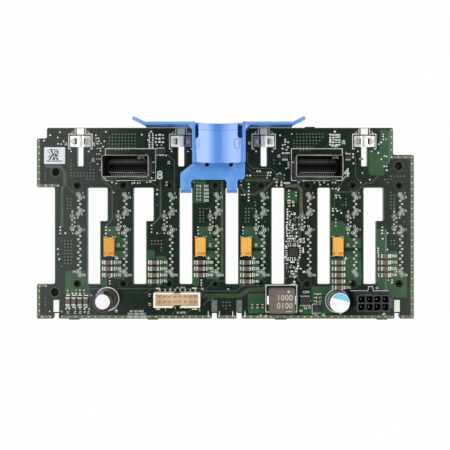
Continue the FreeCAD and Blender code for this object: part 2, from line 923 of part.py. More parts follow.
def small_chip_bodies():
    """Bodies of all the small chips."""
    bodies = []
    for place in small_chip_places():
        bodies.append(chip_body(place, small_chip_length, small_chip_width,
                                small_chip_height, small_chip_end))
    return Part.makeCompound(bodies)


def small_chip_ends():
    """Metal ends of all the small chips."""
    ends = []
    for place in small_chip_places():
        ends += chip_ends(place, small_chip_length, small_chip_width,
                          small_chip_height, small_chip_end)
    return Part.makeCompound(ends)


def package_places():
    """X, Y, length, depth, height and leads per side of the leaded packages."""
    return (
        (column_x(6) - 0.8, bottom_edge + 7.0, 3.8, 3.0, 1.1, 4),
        (column_x(6) + 4.0, bottom_edge + 4.0, 3.0, 3.0, 0.9, 4),
        (column_x(5) + 7.1, vent_top + 4.2, 2.9, 1.5, 1.1, 2),
        (column_x(1) + 8.4, vent_top + 12.4, 2.0, 1.3, 0.9, 3),
        (column_x(7) - 1.9, vent_top + 12.2, 2.4, 1.6, 0.9, 3),
        (column_x(3) - 3.4, vent_top + 14.3, 3.3, 2.0, 1.0, 4),
        (column_x(6) - 8.6, vent_top + 12.4, 2.0, 1.3, 0.9, 3),
    )


def package_bodies():
    """Moulded bodies of the leaded packages."""
    bodies = []
    for x, y, length, depth, height, _ in package_places():
        low, high = board_top + package_lead_thickness, board_top + height
        body = block(x, y, length, depth, low, high)
        upper = [edge for edge in body.Edges if edge.BoundBox.ZMin > high - 1e-6]
        bodies.append(body.makeChamfer(0.15, upper))
    return Part.makeCompound(bodies)


def package_leads():
    """Flat leads that run from under the leaded packages onto their pads."""
    leads = []
    for x, y, length, depth, _, count in package_places():
        pitch = length / count
        for index in range(count):
            lead_x = x + pitch * (index - (count - 1) / 2)
            for side in (-1, 1):
                lead_y = y + side * depth / 2
                leads.append(block(lead_x, lead_y, pitch * 0.45, 2 * package_lead_reach,
                                   board_top, board_top + package_lead_thickness))
    return Part.makeCompound(leads)


def controller():
    """Square leadless controller between two drive columns."""
    x, y = column_x(6) - 5.5, vent_bottom + 12.7
    return rounded_block(x, y, 3.4, 3.4, 0.2, board_top, board_top + 0.85)


def grounding_clip(place):
    """Stamped clip over a board slot: two flanges with domes, and a raised rib between."""
    x = beside_column(place)
    y = top_edge - clip_setback
    low = board_top
    half = clip_length / 2
    rib = clip_rib_width / 2
    foot = clip_slot_width / 2 + 0.3
    top = low + clip_rib_height
    thickness = clip_thickness
    section = [(x - half, low), (x - foot, low), (x - rib + 0.3, top - thickness),
               (x + rib - 0.3, top - thickness), (x + foot, low), (x + half, low),
               (x + half, low + thickness), (x + foot + 0.1, low + thickness), (x + rib, top),
               (x - rib, top), (x - foot - 0.1, low + thickness), (x - half, low + thickness)]
    clip = prism_along_y(section, y - clip_depth / 2, y + clip_depth / 2)
    for side in (-1, 1):
        flat = x + side * (foot + clip_slit_width)
        dome = Part.makeCone(clip_dome_radius, clip_dome_radius - 0.45, clip_dome_height,
                             FreeCAD.Vector(flat, y, low + thickness - 0.01))
        outer = box(min(flat, flat + side * 3), max(flat, flat + side * 3), y - 2, y + 2,
                    low, low + 2)
        clip = clip.fuse(dome.common(outer))
        slit = block(flat - side * clip_slit_width / 2, y, clip_slit_width,
                     2 * clip_dome_radius - 0.3, low - 1, low + thickness + 0.2)
        clip = clip.cut(slit)
    return clip.removeSplitter()


def ground_pads():
    """Tinned pads: one above each clip at the handle edge, one above each notch."""
    low, high = board_top, board_top + pad_thickness
    pads = []
    for place in clip_places:
        y = top_edge - 0.2 - clip_pad_depth / 2
        pads.append(block(beside_column(place), y, clip_pad_width, clip_pad_depth, low, high))
    for place in notch_places:
        y = bottom_edge + edge_pad_rise + edge_pad_depth / 2
        x = beside_column(place)
        pads.append(block(x, y, edge_pad_width, edge_pad_depth, low, high))
    return Part.makeCompound(pads)


def label():
    """Paper label near the upper left corner."""
    x = left_edge + label_inset
    y = top_edge - label_drop
    return rounded_block(x, y, label_length, label_width, 0.3, board_top,
                         board_top + label_thickness)


def grip_sides():
    """X of the grip's two outer faces."""
    left = beside_column(clip_places[1]) + clip_length / 2 + grip_clip_clearance
    right = leg_sides(4)[1] + plate_right_reach
    return left, right


def leg_sides(column):
    """X of the two sides of the handle's leg in the vent right of a drive column."""
    left = column_x(column) + vent_offset + leg_clearance
    return left, left + vent_width - 2 * leg_clearance


def handle_plate():
    """Flat foot of the handle, with a slanted left shoulder and roots for two legs."""
    grip_left, grip_right = grip_sides()
    first_left, first_right = leg_sides(3)
    second_left, second_right = leg_sides(4)
    low = vent_top + plate_lower_gap
    grip_front = vent_top + plate_upper_gap
    back = top_edge
    points = [(first_left, vent_top), (first_right, vent_top), (first_right, low),
              (second_left, low), (second_left, vent_top), (second_right, vent_top),
              (second_right, low), (grip_right, low), (grip_right, back), (grip_left, back),
              (grip_left, grip_front + 0.3), (first_left, grip_front - 3.6)]
    radii = [0, 0, 1.2, 1.2, 0, 0, 0.9, 1.6, 0, 0, 0.4, 1.5]
    return rounded_plate(points, radii, board_top, board_top + plate_thickness)


def handle_leg(column):
    """Leg that drops through a vent and hooks under the board."""
    left, right = leg_sides(column)
    top = board_top + plate_thickness
    tip = vent_top - leg_length
    wall = vent_top - leg_clearance
    hook_top = board_under - hook_clearance
    hook_bottom = hook_top - hook_thickness
    section = [(vent_top + 0.2, board_top), (vent_top + 0.2, top), (tip + 1.1, top),
               (tip, top - 1.3), (tip, hook_bottom + 0.5), (tip + 0.5, hook_bottom),
               (vent_top + hook_reach - 0.6, hook_bottom), (vent_top + hook_reach, hook_top),
               (wall, hook_top), (wall, board_top)]
    return prism_along_x(section, left, right)


def scoop_shell(y_from, y_to, raise_by, thickness):
    """Curved panel between the grip's walls, hollow towards the fingers."""
    left, right = grip_sides()
    inner_left, inner_right = left + grip_wall - 0.1, right - grip_wall + 0.1
    middle = (left + right) / 2
    side = board_top + scoop_side_height + raise_by
    centre = side - scoop_depth
    upper = Part.Arc(FreeCAD.Vector(inner_left, y_from, side),
                     FreeCAD.Vector(middle, y_from, centre),
                     FreeCAD.Vector(inner_right, y_from, side)).toShape()
    lower = Part.Arc(FreeCAD.Vector(inner_left, y_from, side - thickness),
                     FreeCAD.Vector(middle, y_from, centre - thickness),
                     FreeCAD.Vector(inner_right, y_from, side - thickness)).toShape()
    ends = []
    for x in (inner_left, inner_right):
        ends.append(Part.LineSegment(FreeCAD.Vector(x, y_from, side),
                                     FreeCAD.Vector(x, y_from, side - thickness)).toShape())
    face = Part.Face(Part.Wire(Part.sortEdges([upper, lower] + ends)[0]))
    return face.extrude(FreeCAD.Vector(0, y_to - y_from, 0))


def handle_grip():
    """Grip: two walls, the scooped panel with its lip, back walls and corner pockets."""
    left, right = grip_sides()
    front = vent_top + plate_upper_gap
    back = top_edge + arm_thickness
    low = board_top + plate_thickness
    high = board_top + grip_height
    solids = []
    for x_from, x_to in ((left, left + grip_wall), (right - grip_wall, right)):
        solids.append(box(x_from, x_to, front, top_edge, board_top, high))
        solids.append(box(x_from, x_to, top_edge, back, board_top + arm_lift, high))
    panel = scoop_shell(front, back - lip_setback, 0, scoop_thickness)
    lip = scoop_shell(back - lip_setback - lip_depth, back - lip_setback, lip_step,
                      scoop_thickness)
    pockets = []
    pocket_front = back - corner_pocket_length
    corners = ((left + grip_wall, 1), (right - grip_wall, -1))
    for (inner, side), width in zip(corners, corner_pocket_widths):
        far = inner + side * width
        points = [(inner - side * 0.2, pocket_front), (far, pocket_front),
                  (far, back + 1), (inner - side * 0.2, back + 1)]
        pockets.append(rounded_plate(points, [0, 1.0, 0, 0], low, high + 1))
    panel = panel.fuse(lip).cut(pockets)
    for x_from, x_to in ((left + 0.2, left + back_wall_reach), (right - back_wall_reach, right - 0.2)):
        solids.append(box(x_from, x_to, top_edge, back, board_top + arm_lift,
                          board_top + back_wall_height))
    return solids + [panel]


def handle_arm(side):
    """Spring arm beside the grip with a gusset at its root and a bent tip."""
    left, right = grip_sides()
    root = right if side > 0 else left
    end = root + side * arm_length
    inner, outer = top_edge, top_edge + arm_thickness
    low = board_top + arm_lift
    high = low + arm_height
    overlap = root - side * 0.2
    strip = box(min(overlap, end), max(overlap, end), inner, outer, low, high)
    gusset = rounded_plate([(overlap, inner - arm_gusset), (root, inner - arm_gusset),
                            (root + side * arm_gusset, inner), (root + side * arm_gusset, inner + 0.2),
                            (overlap, inner + 0.2)], [0] * 5, low, high)
    angle = math.radians(tip_angle)
    along = (side * math.cos(angle), math.sin(angle))
    tip = rounded_plate([(end - side * 0.2, inner), (end + side * 0.35, inner),
                         (end + side * 0.35 + along[0] * tip_length, inner + along[1] * tip_length),
                         (end + along[0] * tip_length - side * arm_thickness * along[1],
                          outer + along[1] * tip_length - 0.15),
                         (end - side * 0.2, outer)], [0, 0, 0.25, 0.25, 0],
                        high - tip_height, high)
    relief_x = beside_column(clip_places[2 if side > 0 else 1])
    relief = block(relief_x, inner, arm_relief_length, 2 * arm_relief_depth,
                   high - 0.8 - arm_relief_height, high - 0.8)
    return strip.fuse([gusset, tip]).cut(relief)


def pull_handle():
    """One moulding: hooked plate, scooped grip and two spring arms."""
    parts = [handle_leg(3), handle_leg(4)] + handle_grip() + [handle_arm(-1), handle_arm(1)]
    handle = handle_plate().fuse(parts)
    left, right = grip_sides()
    holes = []
    for side in (-1, 1):
        x = (left + right) / 2 + side * core_hole_spacing / 2
        y = vent_top + plate_upper_gap - 0.3
        holes.append(cylinder(x, y, core_hole_radius, board_top, board_top + plate_thickness))
    return handle.cut(holes).removeSplitter()


def spacer(x, y):
    """Moulded spacer that closes a mounting hole from the drive side."""
    flange_low = board_under - spacer_flange_height
    flange = cylinder(x, y, spacer_flange_radius, flange_low, board_under)
    post = cylinder(x, y, spacer_post_radius, board_under - spacer_height, flange_low)
    return flange.fuse(post)


def build_pieces():
    """Every piece by the name of its node."""
    pieces = {"circuit_board": circuit_board(), "pull_handle": pull_handle(), "label": label()}
    for number, (x, y) in enumerate(mounting_holes, start=1):
        pieces[f"spacer_{number}"] = spacer(x, y)
    for column in range(1, drive_count + 1):
        pieces[f"drive_socket_{column}"] = drive_socket(column)
        pieces[f"drive_socket_contacts_{column}"] = drive_contacts(column)
    for letter, place in zip("ab", cable_socket_places):
        x, y = beside_column(place), top_edge - cable_socket_setback
        pieces[f"cable_socket_shell_{letter}"] = cable_socket_shell(x, y)
        pieces[f"cable_socket_insert_{letter}"] = cable_socket_insert(x, y)
        pieces[f"cable_socket_contacts_{letter}"] = cable_socket_contacts(x, y)
    pieces["power_socket"] = power_socket()
    pieces["power_socket_pins"] = power_socket_pins()
    pieces["signal_header"] = signal_header()
    pieces["signal_header_pins"] = signal_header_pins()
    pieces["electrolytic_can"] = electrolytic_can()
    pieces["electrolytic_sleeve"] = electrolytic_sleeve_skin()
    pieces["electrolytic_bung"] = electrolytic_bung()
    pieces["polymer_can"] = polymer_can()
    pieces["polymer_bung"] = polymer_bung()
    pieces["inductor_core"] = inductor_core()
    pieces["inductor_terminals"] = inductor_terminals()
    for number in range(1, len(tantalum_places) + 1):
        pieces[f"tantalum_capacitor_{number}"] = tantalum_capacitor(number)
    pieces["tantalum_terminals"] = tantalum_terminals()
    pieces["large_chip_bodies"] = large_chip_bodies()
    pieces["large_chip_ends"] = large_chip_ends()
    pieces["small_chip_bodies"] = small_chip_bodies()
    pieces["small_chip_ends"] = small_chip_ends()
    pieces["package_bodies"] = package_bodies()
    pieces["package_leads"] = package_leads()
    pieces["controller"] = controller()
    for number, place in enumerate(clip_places, start=1):
        pieces[f"grounding_clip_{number}"] = grounding_clip(place)
    pieces["ground_pads"] = ground_pads()
    return pieces


def write_pieces(pieces):
    """Move the origin under the middle of the whole part and write one file per piece."""
    os.makedirs("parts", exist_ok=True)
    whole = FreeCAD.BoundBox()
    for shape in pieces.values():
        whole.add(shape.BoundBox)
    shift = FreeCAD.Vector(-whole.Center.x, -whole.Center.y, 0)
    for name, shape in pieces.items():
        shape.translate(shift)
        shape.exportStep(f"parts/{name}.step")
        print(f"{name}: {len(shape.Solids)} solids, {shape.Volume:.2f} mm3")


write_pieces(build_pieces())
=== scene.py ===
import math
import random

import bmesh
import bpy
from mathutils import Matrix, Vector


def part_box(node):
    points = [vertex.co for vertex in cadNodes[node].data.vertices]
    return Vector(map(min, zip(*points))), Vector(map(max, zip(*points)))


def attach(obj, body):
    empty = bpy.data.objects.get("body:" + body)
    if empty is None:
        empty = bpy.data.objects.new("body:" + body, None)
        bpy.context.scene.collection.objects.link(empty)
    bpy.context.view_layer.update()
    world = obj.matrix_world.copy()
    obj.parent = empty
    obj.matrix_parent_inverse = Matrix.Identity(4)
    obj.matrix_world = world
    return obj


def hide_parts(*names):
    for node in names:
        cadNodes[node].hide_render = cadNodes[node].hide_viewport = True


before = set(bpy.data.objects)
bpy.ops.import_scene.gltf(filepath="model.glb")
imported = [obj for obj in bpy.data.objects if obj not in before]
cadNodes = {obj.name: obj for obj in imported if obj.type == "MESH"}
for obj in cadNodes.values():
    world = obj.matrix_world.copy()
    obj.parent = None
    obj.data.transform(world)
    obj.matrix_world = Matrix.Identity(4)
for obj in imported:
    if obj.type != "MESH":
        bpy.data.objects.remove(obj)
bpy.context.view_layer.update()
driveCount = 8
mm = 0.001  # every size below is in millimetres and is scaled once, when a mesh is finished
print("frame loaded")


def edges(node):
    low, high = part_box(node)
    return low / mm, high / mm


def middle(node):
    low, high = edges(node)
    return (low + high) / 2


def pinGrid(node, columns, rows, pitch):
    # places of a connector's pins, row by row
    centre = middle(node)
    return [(centre.x + pitch * (i - (columns - 1) / 2), centre.y + pitch * (j - (rows - 1) / 2))
            for j in range(rows) for i in range(columns)]


boardLow, boardHigh = edges("circuit_board")
boardTop, boardUnder = boardHigh.z, boardLow.z
copperBase, legendBase = boardTop - 0.02, boardTop - 0.01  # sunk a little, so that nothing floats
columnX = [middle(f"drive_socket_{n}").x for n in range(1, driveCount + 1)]
gripX = (edges("grounding_clip_2")[1].x + edges("grounding_clip_3")[0].x) / 2
gripHalf = edges("grounding_clip_3")[0].x - gripX - 2.1
gripLow, lipStart = boardTop + 4.0, 35.1


def linear(*color):
    # display colour 0 to 255 to the shader's linear values
    steps = [c / 255 for c in color]
    channels = (s / 12.92 if s <= 0.04045 else ((s + 0.055) / 1.055) ** 2.4 for s in steps)
    return (*channels, 1.0)


class Finish:
    # a Principled material with short calls for the nodes that every finish here uses
    def __init__(self, name, color, roughness, metallic=0.0, specular=0.5, coat=0.0):
        self.material = bpy.data.materials.new(name)
        self.material.use_nodes = True
        self.tree = self.material.node_tree
        self.shader = self.tree.nodes["Principled BSDF"]
        self.set("Base Color", linear(*color)).set("Roughness", roughness).set("Metallic", metallic)
        self.set("Specular IOR Level", specular)
        self.set("Coat Weight", coat).set("Coat Roughness", 0.15)
        self.place = self.node("ShaderNodeTexCoord").outputs["Object"]
        self.normal = None

    def plug(self, value, socket):
        if isinstance(value, bpy.types.NodeSocket):
            self.tree.links.new(value, socket)
        else:
            socket.default_value = value

    def set(self, name, value):
        self.plug(value, self.shader.inputs[name])
        return self

    def node(self, kind, inputs=None, **settings):
        made = self.tree.nodes.new(kind)
        for key, value in settings.items():
            setattr(made, key, value)
        for key, value in (inputs or {}).items():
            self.plug(value, made.inputs[key])
        return made

    def noise(self, size, detail=3.0, stretch=None):
        # size is that of one blotch, in millimetres
        place = self.place
        if stretch:
            place = self.node("ShaderNodeMapping", {"Scale": stretch, "Vector": place}).outputs[0]
        inputs = {"Scale": 1 / (size * mm), "Detail": detail, "Vector": place}
        return self.node("ShaderNodeTexNoise", inputs).outputs["Fac"]

    def bands(self, size, direction):
        inputs = {"Scale": 0.314 / (size * mm), "Vector": self.place}
        return self.node("ShaderNodeTexWave", inputs, bands_direction=direction).outputs["Fac"]

    def math(self, operation, *values):
        return self.node("ShaderNodeMath", dict(enumerate(values)), operation=operation).outputs[0]

    def ramp(self, factor, low, high, start=0.35, end=0.65):
        made = self.node("ShaderNodeValToRGB", {"Fac": factor})
        for index, (position, color) in enumerate(((start, low), (end, high))):
            made.color_ramp.elements[index].position = position
            made.color_ramp.elements[index].color = linear(*color)
        return made.outputs["Color"]

    def mix(self, factor, low, high):
        low, high = (linear(*color) if isinstance(color, tuple) else color for color in (low, high))
        return self.node("ShaderNodeMix", {0: factor, 6: low, 7: high}, data_type="RGBA").outputs[2]

    def axis(self, name):
        parts = self.node("ShaderNodeSeparateXYZ", {0: self.place})
        return self.math("DIVIDE", parts.outputs[name], mm)

    def facing(self, name):
        normal = self.node("ShaderNodeNewGeometry").outputs["Normal"]
        return self.node("ShaderNodeSeparateXYZ", {0: normal}).outputs[name]

    def offset(self, name, centre):
        return self.math("SUBTRACT", self.axis(name), centre)

    def distance(self, name, centre):
        return self.math("ABSOLUTE", self.offset(name, centre))

    def near(self, name, centre, reach):
        return self.math("LESS_THAN", self.distance(name, centre), reach)

    def past(self, name, value):
        return self.math("GREATER_THAN", self.axis(name), value)

    def both(self, first, second):
        return self.math("MULTIPLY", first, second)

    def color(self, socket):
        return self.set("Base Color", socket)

    def tint(self, mask, color):
        # one more colour over those so far, where mask is 1
        return self.color(self.mix(mask, self.shader.inputs["Base Color"].links[0].from_socket,
                                   color))

    def mottle(self, low, high, size):
        return self.color(self.ramp(self.noise(size), low, high))

    def rough(self, size, low, high):
        inputs = {"To Min": low, "To Max": high, "Value": self.noise(size)}
        return self.set("Roughness", self.node("ShaderNodeMapRange", inputs).outputs["Result"])

    def bump(self, height, depth):
        inputs = {"Distance": depth * mm, "Height": height}
        if self.normal is not None:
            inputs["Normal"] = self.normal
        self.normal = self.node("ShaderNodeBump", inputs).outputs["Normal"]
        return self.set("Normal", self.normal)


def maskFinish(name, low, high):
    # solder mask: glass weave shows faintly through it, and cut edges show the laminate
    made = Finish(name, low, 0.15, specular=0.5)
    weave = made.both(made.bands(0.55, "X"), made.bands(0.55, "Y"))
    blotches = made.ramp(made.noise(5.0, 4.0), low, high, 0.3, 0.7)
    woven = made.mix(made.both(weave, 0.12), blotches, high)
    laminate = made.ramp(made.noise(0.4, 2.0, (1, 1, 6)), (70, 84, 48), (112, 118, 74))
    side = made.math("LESS_THAN", made.math("ABSOLUTE", made.facing("Z")), 0.5)
    made.color(made.mix(side, woven, laminate))
    made.rough(2.0, 0.13, 0.17)
    return made.bump(weave, 0.003).bump(made.noise(0.7), 0.004)


def plasticFinish(name, low, high, roughness, grain=0.12, depth=0.006):
    made = Finish(name, low, roughness)
    made.mottle(low, high, 2.4)
    made.rough(1.2, roughness - 0.05, roughness + 0.07)
    return made.bump(made.noise(grain, 2.0), depth)


def metalFinish(name, low, high, roughness, metallic=0.85, stretch=(1, 1, 1), depth=0.004):
    made = Finish(name, low, roughness, metallic)
    made.mottle(low, high, 0.9)
    made.rough(0.6, roughness - 0.06, roughness + 0.1)
    return made.bump(made.noise(0.12, 2.0, stretch), depth)


finishes = {
    "board": maskFinish("greenSolderMask", (21, 35, 26), (29, 44, 33)),
    "pour": maskFinish("maskOverCopper", (46, 79, 50), (58, 92, 62)),
    "pale": maskFinish("maskOverWideCopper", (88, 108, 88), (98, 118, 96)),
    "grey": maskFinish("maskOverTrace", (66, 78, 64), (80, 90, 74)),
    "olive": maskFinish("maskOverPowerTrace", (58, 68, 48), (72, 78, 58)),
    "brown": maskFinish("maskOverSignalTrace", (84, 80, 62), (102, 96, 78)),
    "edge": maskFinish("maskOverEdgeCopper", (86, 102, 72), (108, 120, 90)),
    "margin": maskFinish("maskOverLaminate", (44, 62, 36), (56, 74, 46)),
    "via": metalFinish("maskedViaRing", (84, 98, 84), (112, 124, 108), 0.42, 0.1),
    "solder": metalFinish("solder", (214, 215, 208), (240, 240, 234), 0.34, 0.3),
    "tin": metalFinish("tinPlate", (236, 233, 226), (250, 248, 243), 0.2, 0.4, depth=0.0006),
    "silk": Finish("whiteLegendInk", (206, 208, 198), 0.6),
    "blue": plasticFinish("blueMouldedPlastic", (92, 152, 224), (98, 158, 230), 0.24, 0.3, 0.0015),
    "black": plasticFinish("blackSocketPlastic", (17, 17, 17), (26, 26, 26), 0.5),
    "dark": plasticFinish("darkInsertPlastic", (24, 24, 27), (34, 34, 38), 0.4),
    "grey plastic": plasticFinish("greySocketPlastic", (40, 42, 46), (54, 56, 60), 0.46),
    "cream": plasticFinish("creamHeaderPlastic", (250, 224, 192), (255, 240, 214), 0.42),
    "gold": metalFinish("contactMetal", (196, 160, 84), (222, 190, 116), 0.26, 0.9),
    "shell": metalFinish("nickelShell", (158, 155, 143), (190, 187, 174), 0.4, 0.7, (1, 1, 0.15)),
    "can": metalFinish("drawnAluminium", (240, 241, 241), (250, 250, 250), 0.4, 0.2, (1, 1, 0.1)),
    "ceramic": plasticFinish("brownCeramic", (100, 82, 74), (122, 104, 94), 0.4, 0.08, 0.004),
    # painted shade: the power pins, deep in their cells, are coloured near black
    "pin shade": metalFinish("powerPinPaintedShade", (18, 18, 20), (28, 28, 30), 0.5, 0.3),
    "pin": metalFinish("headerPinMetal", (176, 150, 112), (206, 178, 138), 0.4, 0.5),
    "chip solder": metalFinish("chipSolder", (206, 205, 196), (236, 235, 226), 0.36, 0.3),
    "epoxy": plasticFinish("blackPackageResin", (46, 45, 46), (62, 60, 60), 0.5, 0.07, 0.006),
    "rubber": plasticFinish("bungRubber", (28, 26, 26), (40, 37, 36), 0.7),
    # painted shade: near-black for holes and slits, which look dark only from shade
    "hole": Finish("holePaintedShade", (18, 24, 20), 0.7),
    "peg": plasticFinish("pegEndPlastic", (32, 32, 30), (42, 42, 39), 0.6),
    # painted shade: near black for the hollow at each peg's end
    "core": plasticFinish("pegDimplePaintedShade", (3, 3, 3), (6, 6, 6), 0.7),
    # painted shade: the clips' own tin coloured grey on their domes
    "dome shade": metalFinish("clipDomePaintedShade", (176, 172, 164), (206, 203, 194), 0.34, 0.6),
    # painted shade and painted highlight: darker and brighter copies of the clips' tin for the two
    # halves of the clips beside the grip
    "tin painted shade": metalFinish("tinPlatePaintedShade", (122, 118, 124), (142, 138, 146), 0.4, 0.3),
    "tin painted highlight": metalFinish("tinPlatePaintedHighlight", (248, 246, 240), (255, 254, 250), 0.34, 0.05),
    # painted shade: a darker copy of the shells' metal for their outer walls and feet, and a
    # near-black one for walls facing inward and for the chip slopes
    "shell side shade": metalFinish("shellSidePaintedShade", (66, 66, 62), (90, 89, 84), 0.4, 0.4),
    "metal shade": metalFinish("metalPaintedShade", (20, 20, 18), (32, 31, 29), 0.5, 0.3),
    "pad": metalFinish("groundPadTin", (206, 208, 200), (228, 229, 222), 0.2, 0.9, depth=0.0006),
    "contact": metalFinish("cardContactMetal", (222, 218, 204), (245, 242, 230), 0.36, 0.4),
}
blue = finishes["blue"]
# painted light and shade on one moulding: the grip is painted a lighter blue and its top lip a
# darker blue
onGrip = blue.both(blue.near("X", gripX, gripHalf), blue.past("Z", gripLow))
blue.tint(onGrip, (90, 154, 238))
blue.tint(blue.both(onGrip, blue.past("Y", lipStart)), (76, 138, 224))
blue.set("Specular IOR Level", 1.0)
blue.set("Coat Weight", onGrip).set("Coat IOR", 1.8).set("Coat Roughness", 0.2)

# painted reflection: the pads near the board's ends and along its top are made matt and white, as
# where they catch the lamps, and the others stay bare and mirror-like
pad = finishes["pad"]
outer = pad.math("GREATER_THAN", pad.distance("X", 0.0), 40.0)
paintedReflection = pad.math("MAXIMUM", pad.past("Y", 0.0), outer)
pad.set("Metallic", pad.math("SUBTRACT", 0.95, pad.both(paintedReflection, 0.85)))
pad.tint(outer, (252, 251, 245))

contact, pin = finishes["contact"], finishes["pin"]
# painted shade: the contacts of the back row, past the shell's middle, are painted darker
contact.tint(contact.past("Y", middle("cable_socket_shell_a").y), (158, 156, 146))
headerLow, headerHigh = edges("signal_header")
pin.tint(pin.past("Y", headerHigh.y), (216, 216, 208))

# painted highlight: only the outer line of a shell's rim keeps the bright metal, and the rest is
# painted darker as shade
shell = finishes["shell"]
highlightLine, rimHighlights = 0.27, []
for letter in ("a", "b"):
    node = f"cable_socket_shell_{letter}"
    rimHeight = edges(node)[1].z - 0.1
    corners = [v.co / mm for v in cadNodes[node].data.vertices if v.co.z / mm > rimHeight]
    insets = []
    for name, values in (("X", [c.x for c in corners]), ("Y", [c.y for c in corners])):
        away = shell.distance(name, (min(values) + max(values)) / 2)
        insets.append(shell.math("SUBTRACT", away, (max(values) - min(values)) / 2 - highlightLine))
    inset = shell.math("MAXIMUM", *insets)
    rimHighlights.append(shell.both(shell.math("GREATER_THAN", inset, 0.0),
                           shell.math("LESS_THAN", inset, 1.0)))
bright = shell.shader.inputs["Base Color"].links[0].from_socket
shell.color(shell.mix(shell.math("MAXIMUM", *rimHighlights), (96, 92, 84), bright))

# painted highlight as a pale rim round the header's top, and painted shade in the two dents of its
# long walls
cream = finishes["cream"]
cream.tint(cream.past("Z", headerHigh.z - 0.25), (253, 250, 243))
dent = {"half": 1.4, "depth": 0.55}
headerMiddle, halfDepth = middle("signal_header"), (headerHigh.y - headerLow.y) / 2
outward = cream.math("GREATER_THAN", cream.distance("Y", headerMiddle.y), halfDepth - dent["depth"])
cream.tint(cream.both(cream.near("X", headerMiddle.x, dent["half"]), outward), (58, 47, 38))

# painted shade: the power socket is painted black in and round its cells, for the shade in their
# deep openings, and it is painted black at its left end
grey = finishes["grey plastic"]
cell = {"pitch": 3.0, "half": 1.3, "rows": 2, "columns": 4, "end": 1.7}
pitch, centre = cell["pitch"], middle("power_socket_pins")
powerSpots = sorted(pinGrid("power_socket_pins", cell["columns"], cell["rows"], pitch))
inCell = []
for name, start, count in (("X", centre.x, cell["columns"]), ("Y", centre.y, cell["rows"])):
    inside = grey.near(name, start, pitch * (count - 1) / 2 + cell["half"])
    shifted = grey.math("ADD", grey.offset(name, start), pitch / 2)
    away = grey.math("ABSOLUTE", grey.math("WRAP", shifted, pitch / 2, -pitch / 2))
    inCell.append(grey.both(inside, grey.math("LESS_THAN", away, cell["half"])))
blackEnd = grey.math("LESS_THAN", grey.axis("X"), edges("power_socket_pins")[0].x - cell["end"])
grey.tint(grey.math("MAXIMUM", grey.both(*inCell), blackEnd), (11, 12, 15))

for level, names in ((0.25, ("black", "dark", "epoxy")), (0.03, ("peg", "hole", "core"))):
    for name in names:
        finishes[name].set("Specular IOR Level", level)
silk = finishes["silk"]
silk.mottle((205, 208, 200), (232, 234, 226), 0.5).bump(silk.noise(0.2), 0.004)
finishes["hole"].mottle((12, 17, 14), (26, 33, 28), 0.3)


def tantalumFinish():
    # ochre moulding with a scuffed band at the marked end
    made = Finish("ochreMouldedResin", (226, 160, 70), 0.42)
    warm = made.ramp(made.noise(0.5, 4.0), (212, 147, 46), (232, 169, 70))
    light = made.ramp(made.noise(0.5, 4.0), (230, 165, 60), (246, 188, 86))
    body = made.mix(made.past("X", columnX[2]), warm, light)
    band = {"below": 2.6, "half": 0.42, "scuffs": 0.47, "strength": 0.75}
    scuffs = made.math("GREATER_THAN", made.noise(0.8, 2.0), band["scuffs"])
    printed = made.near("Y", middle("tantalum_capacitor_1").y - band["below"], band["half"])
    amount = made.both(made.both(printed, scuffs), band["strength"])
    made.color(made.mix(amount, body, (176, 98, 24)))
    return made.rough(0.6, 0.36, 0.5).bump(made.noise(0.1, 2.0), 0.006)


def inductorFinish():
    # pressed powder: fine grey and brown grains
    made = Finish("pressedPowder", (130, 118, 108), 0.62)
    grains = made.ramp(made.noise(0.16, 2.0), (90, 81, 74), (122, 111, 102), 0.3, 0.7)
    made.color(made.mix(made.both(made.noise(2.6), 0.25), grains, (96, 82, 72)))
    return made.bump(made.noise(0.14, 3.0), 0.02)


def paperFinish():
    made = Finish("labelPaper", (226, 228, 230), 0.55, coat=0.15)
    made.mottle((214, 217, 221), (229, 232, 235), 1.4)
    return made.bump(made.noise(0.15), 0.004)


finishes["tantalum"] = tantalumFinish()
finishes["inductor"] = inductorFinish()
finishes["paper"] = paperFinish()
finishes["ink"] = Finish("labelInk", (24, 24, 26), 0.6).mottle((16, 16, 18), (36, 36, 38), 0.3)

nodeFinishes = {  # of CAD nodes, whose letters and numbers at the end are left off
    "circuit_board": "board", "label": "paper", "ground_pads": "pad", "controller": "epoxy",
    "power_socket": "grey plastic", "power_socket_pins": "tin", "signal_header": "cream",
    "signal_header_pins": "pin", "electrolytic_bung": "rubber", "polymer_bung": "rubber",
    "inductor_terminals": "tin", "tantalum_capacitor": "tantalum",
    "tantalum_terminals": "chip solder",
    "large_chip_bodies": "ceramic", "large_chip_ends": "chip solder",
    "small_chip_bodies": "ceramic",
    "small_chip_ends": "chip solder", "package_bodies": "epoxy", "package_leads": "chip solder",
    "cable_socket_shell": "shell", "cable_socket_insert": "dark",
    "cable_socket_contacts": "contact",
    "drive_socket": "black", "drive_socket_contacts": "gold", "grounding_clip": "tin",
    "spacer": "black",
}
for node, made in cadNodes.items():
    finish = nodeFinishes.get(node.rstrip("_ab12345678"))
    if finish:
        made.data.materials.clear()
        made.data.materials.append(finishes[finish].material)
print("finishes made")


# mesh helpers work in millimetres


def addPrism(mesh, outline, low, high):
    # upright prism over a counterclockwise outline
    bottom = [mesh.verts.new((x, y, low)) for x, y in outline]
    top = [mesh.verts.new((x, y, high)) for x, y in outline]
    mesh.faces.new(top)
    mesh.faces.new(bottom[::-1])
    for index in range(len(outline)):
        after = (index + 1) % len(outline)
        mesh.faces.new((bottom[index], bottom[after], top[after], top[index]))


def addBlock(mesh, x, y, length, depth, low, high):
    left, right, front, back = x - length / 2, x + length / 2, y - depth / 2, y + depth / 2
    addPrism(mesh, [(left, front), (right, front), (right, back), (left, back)], low, high)


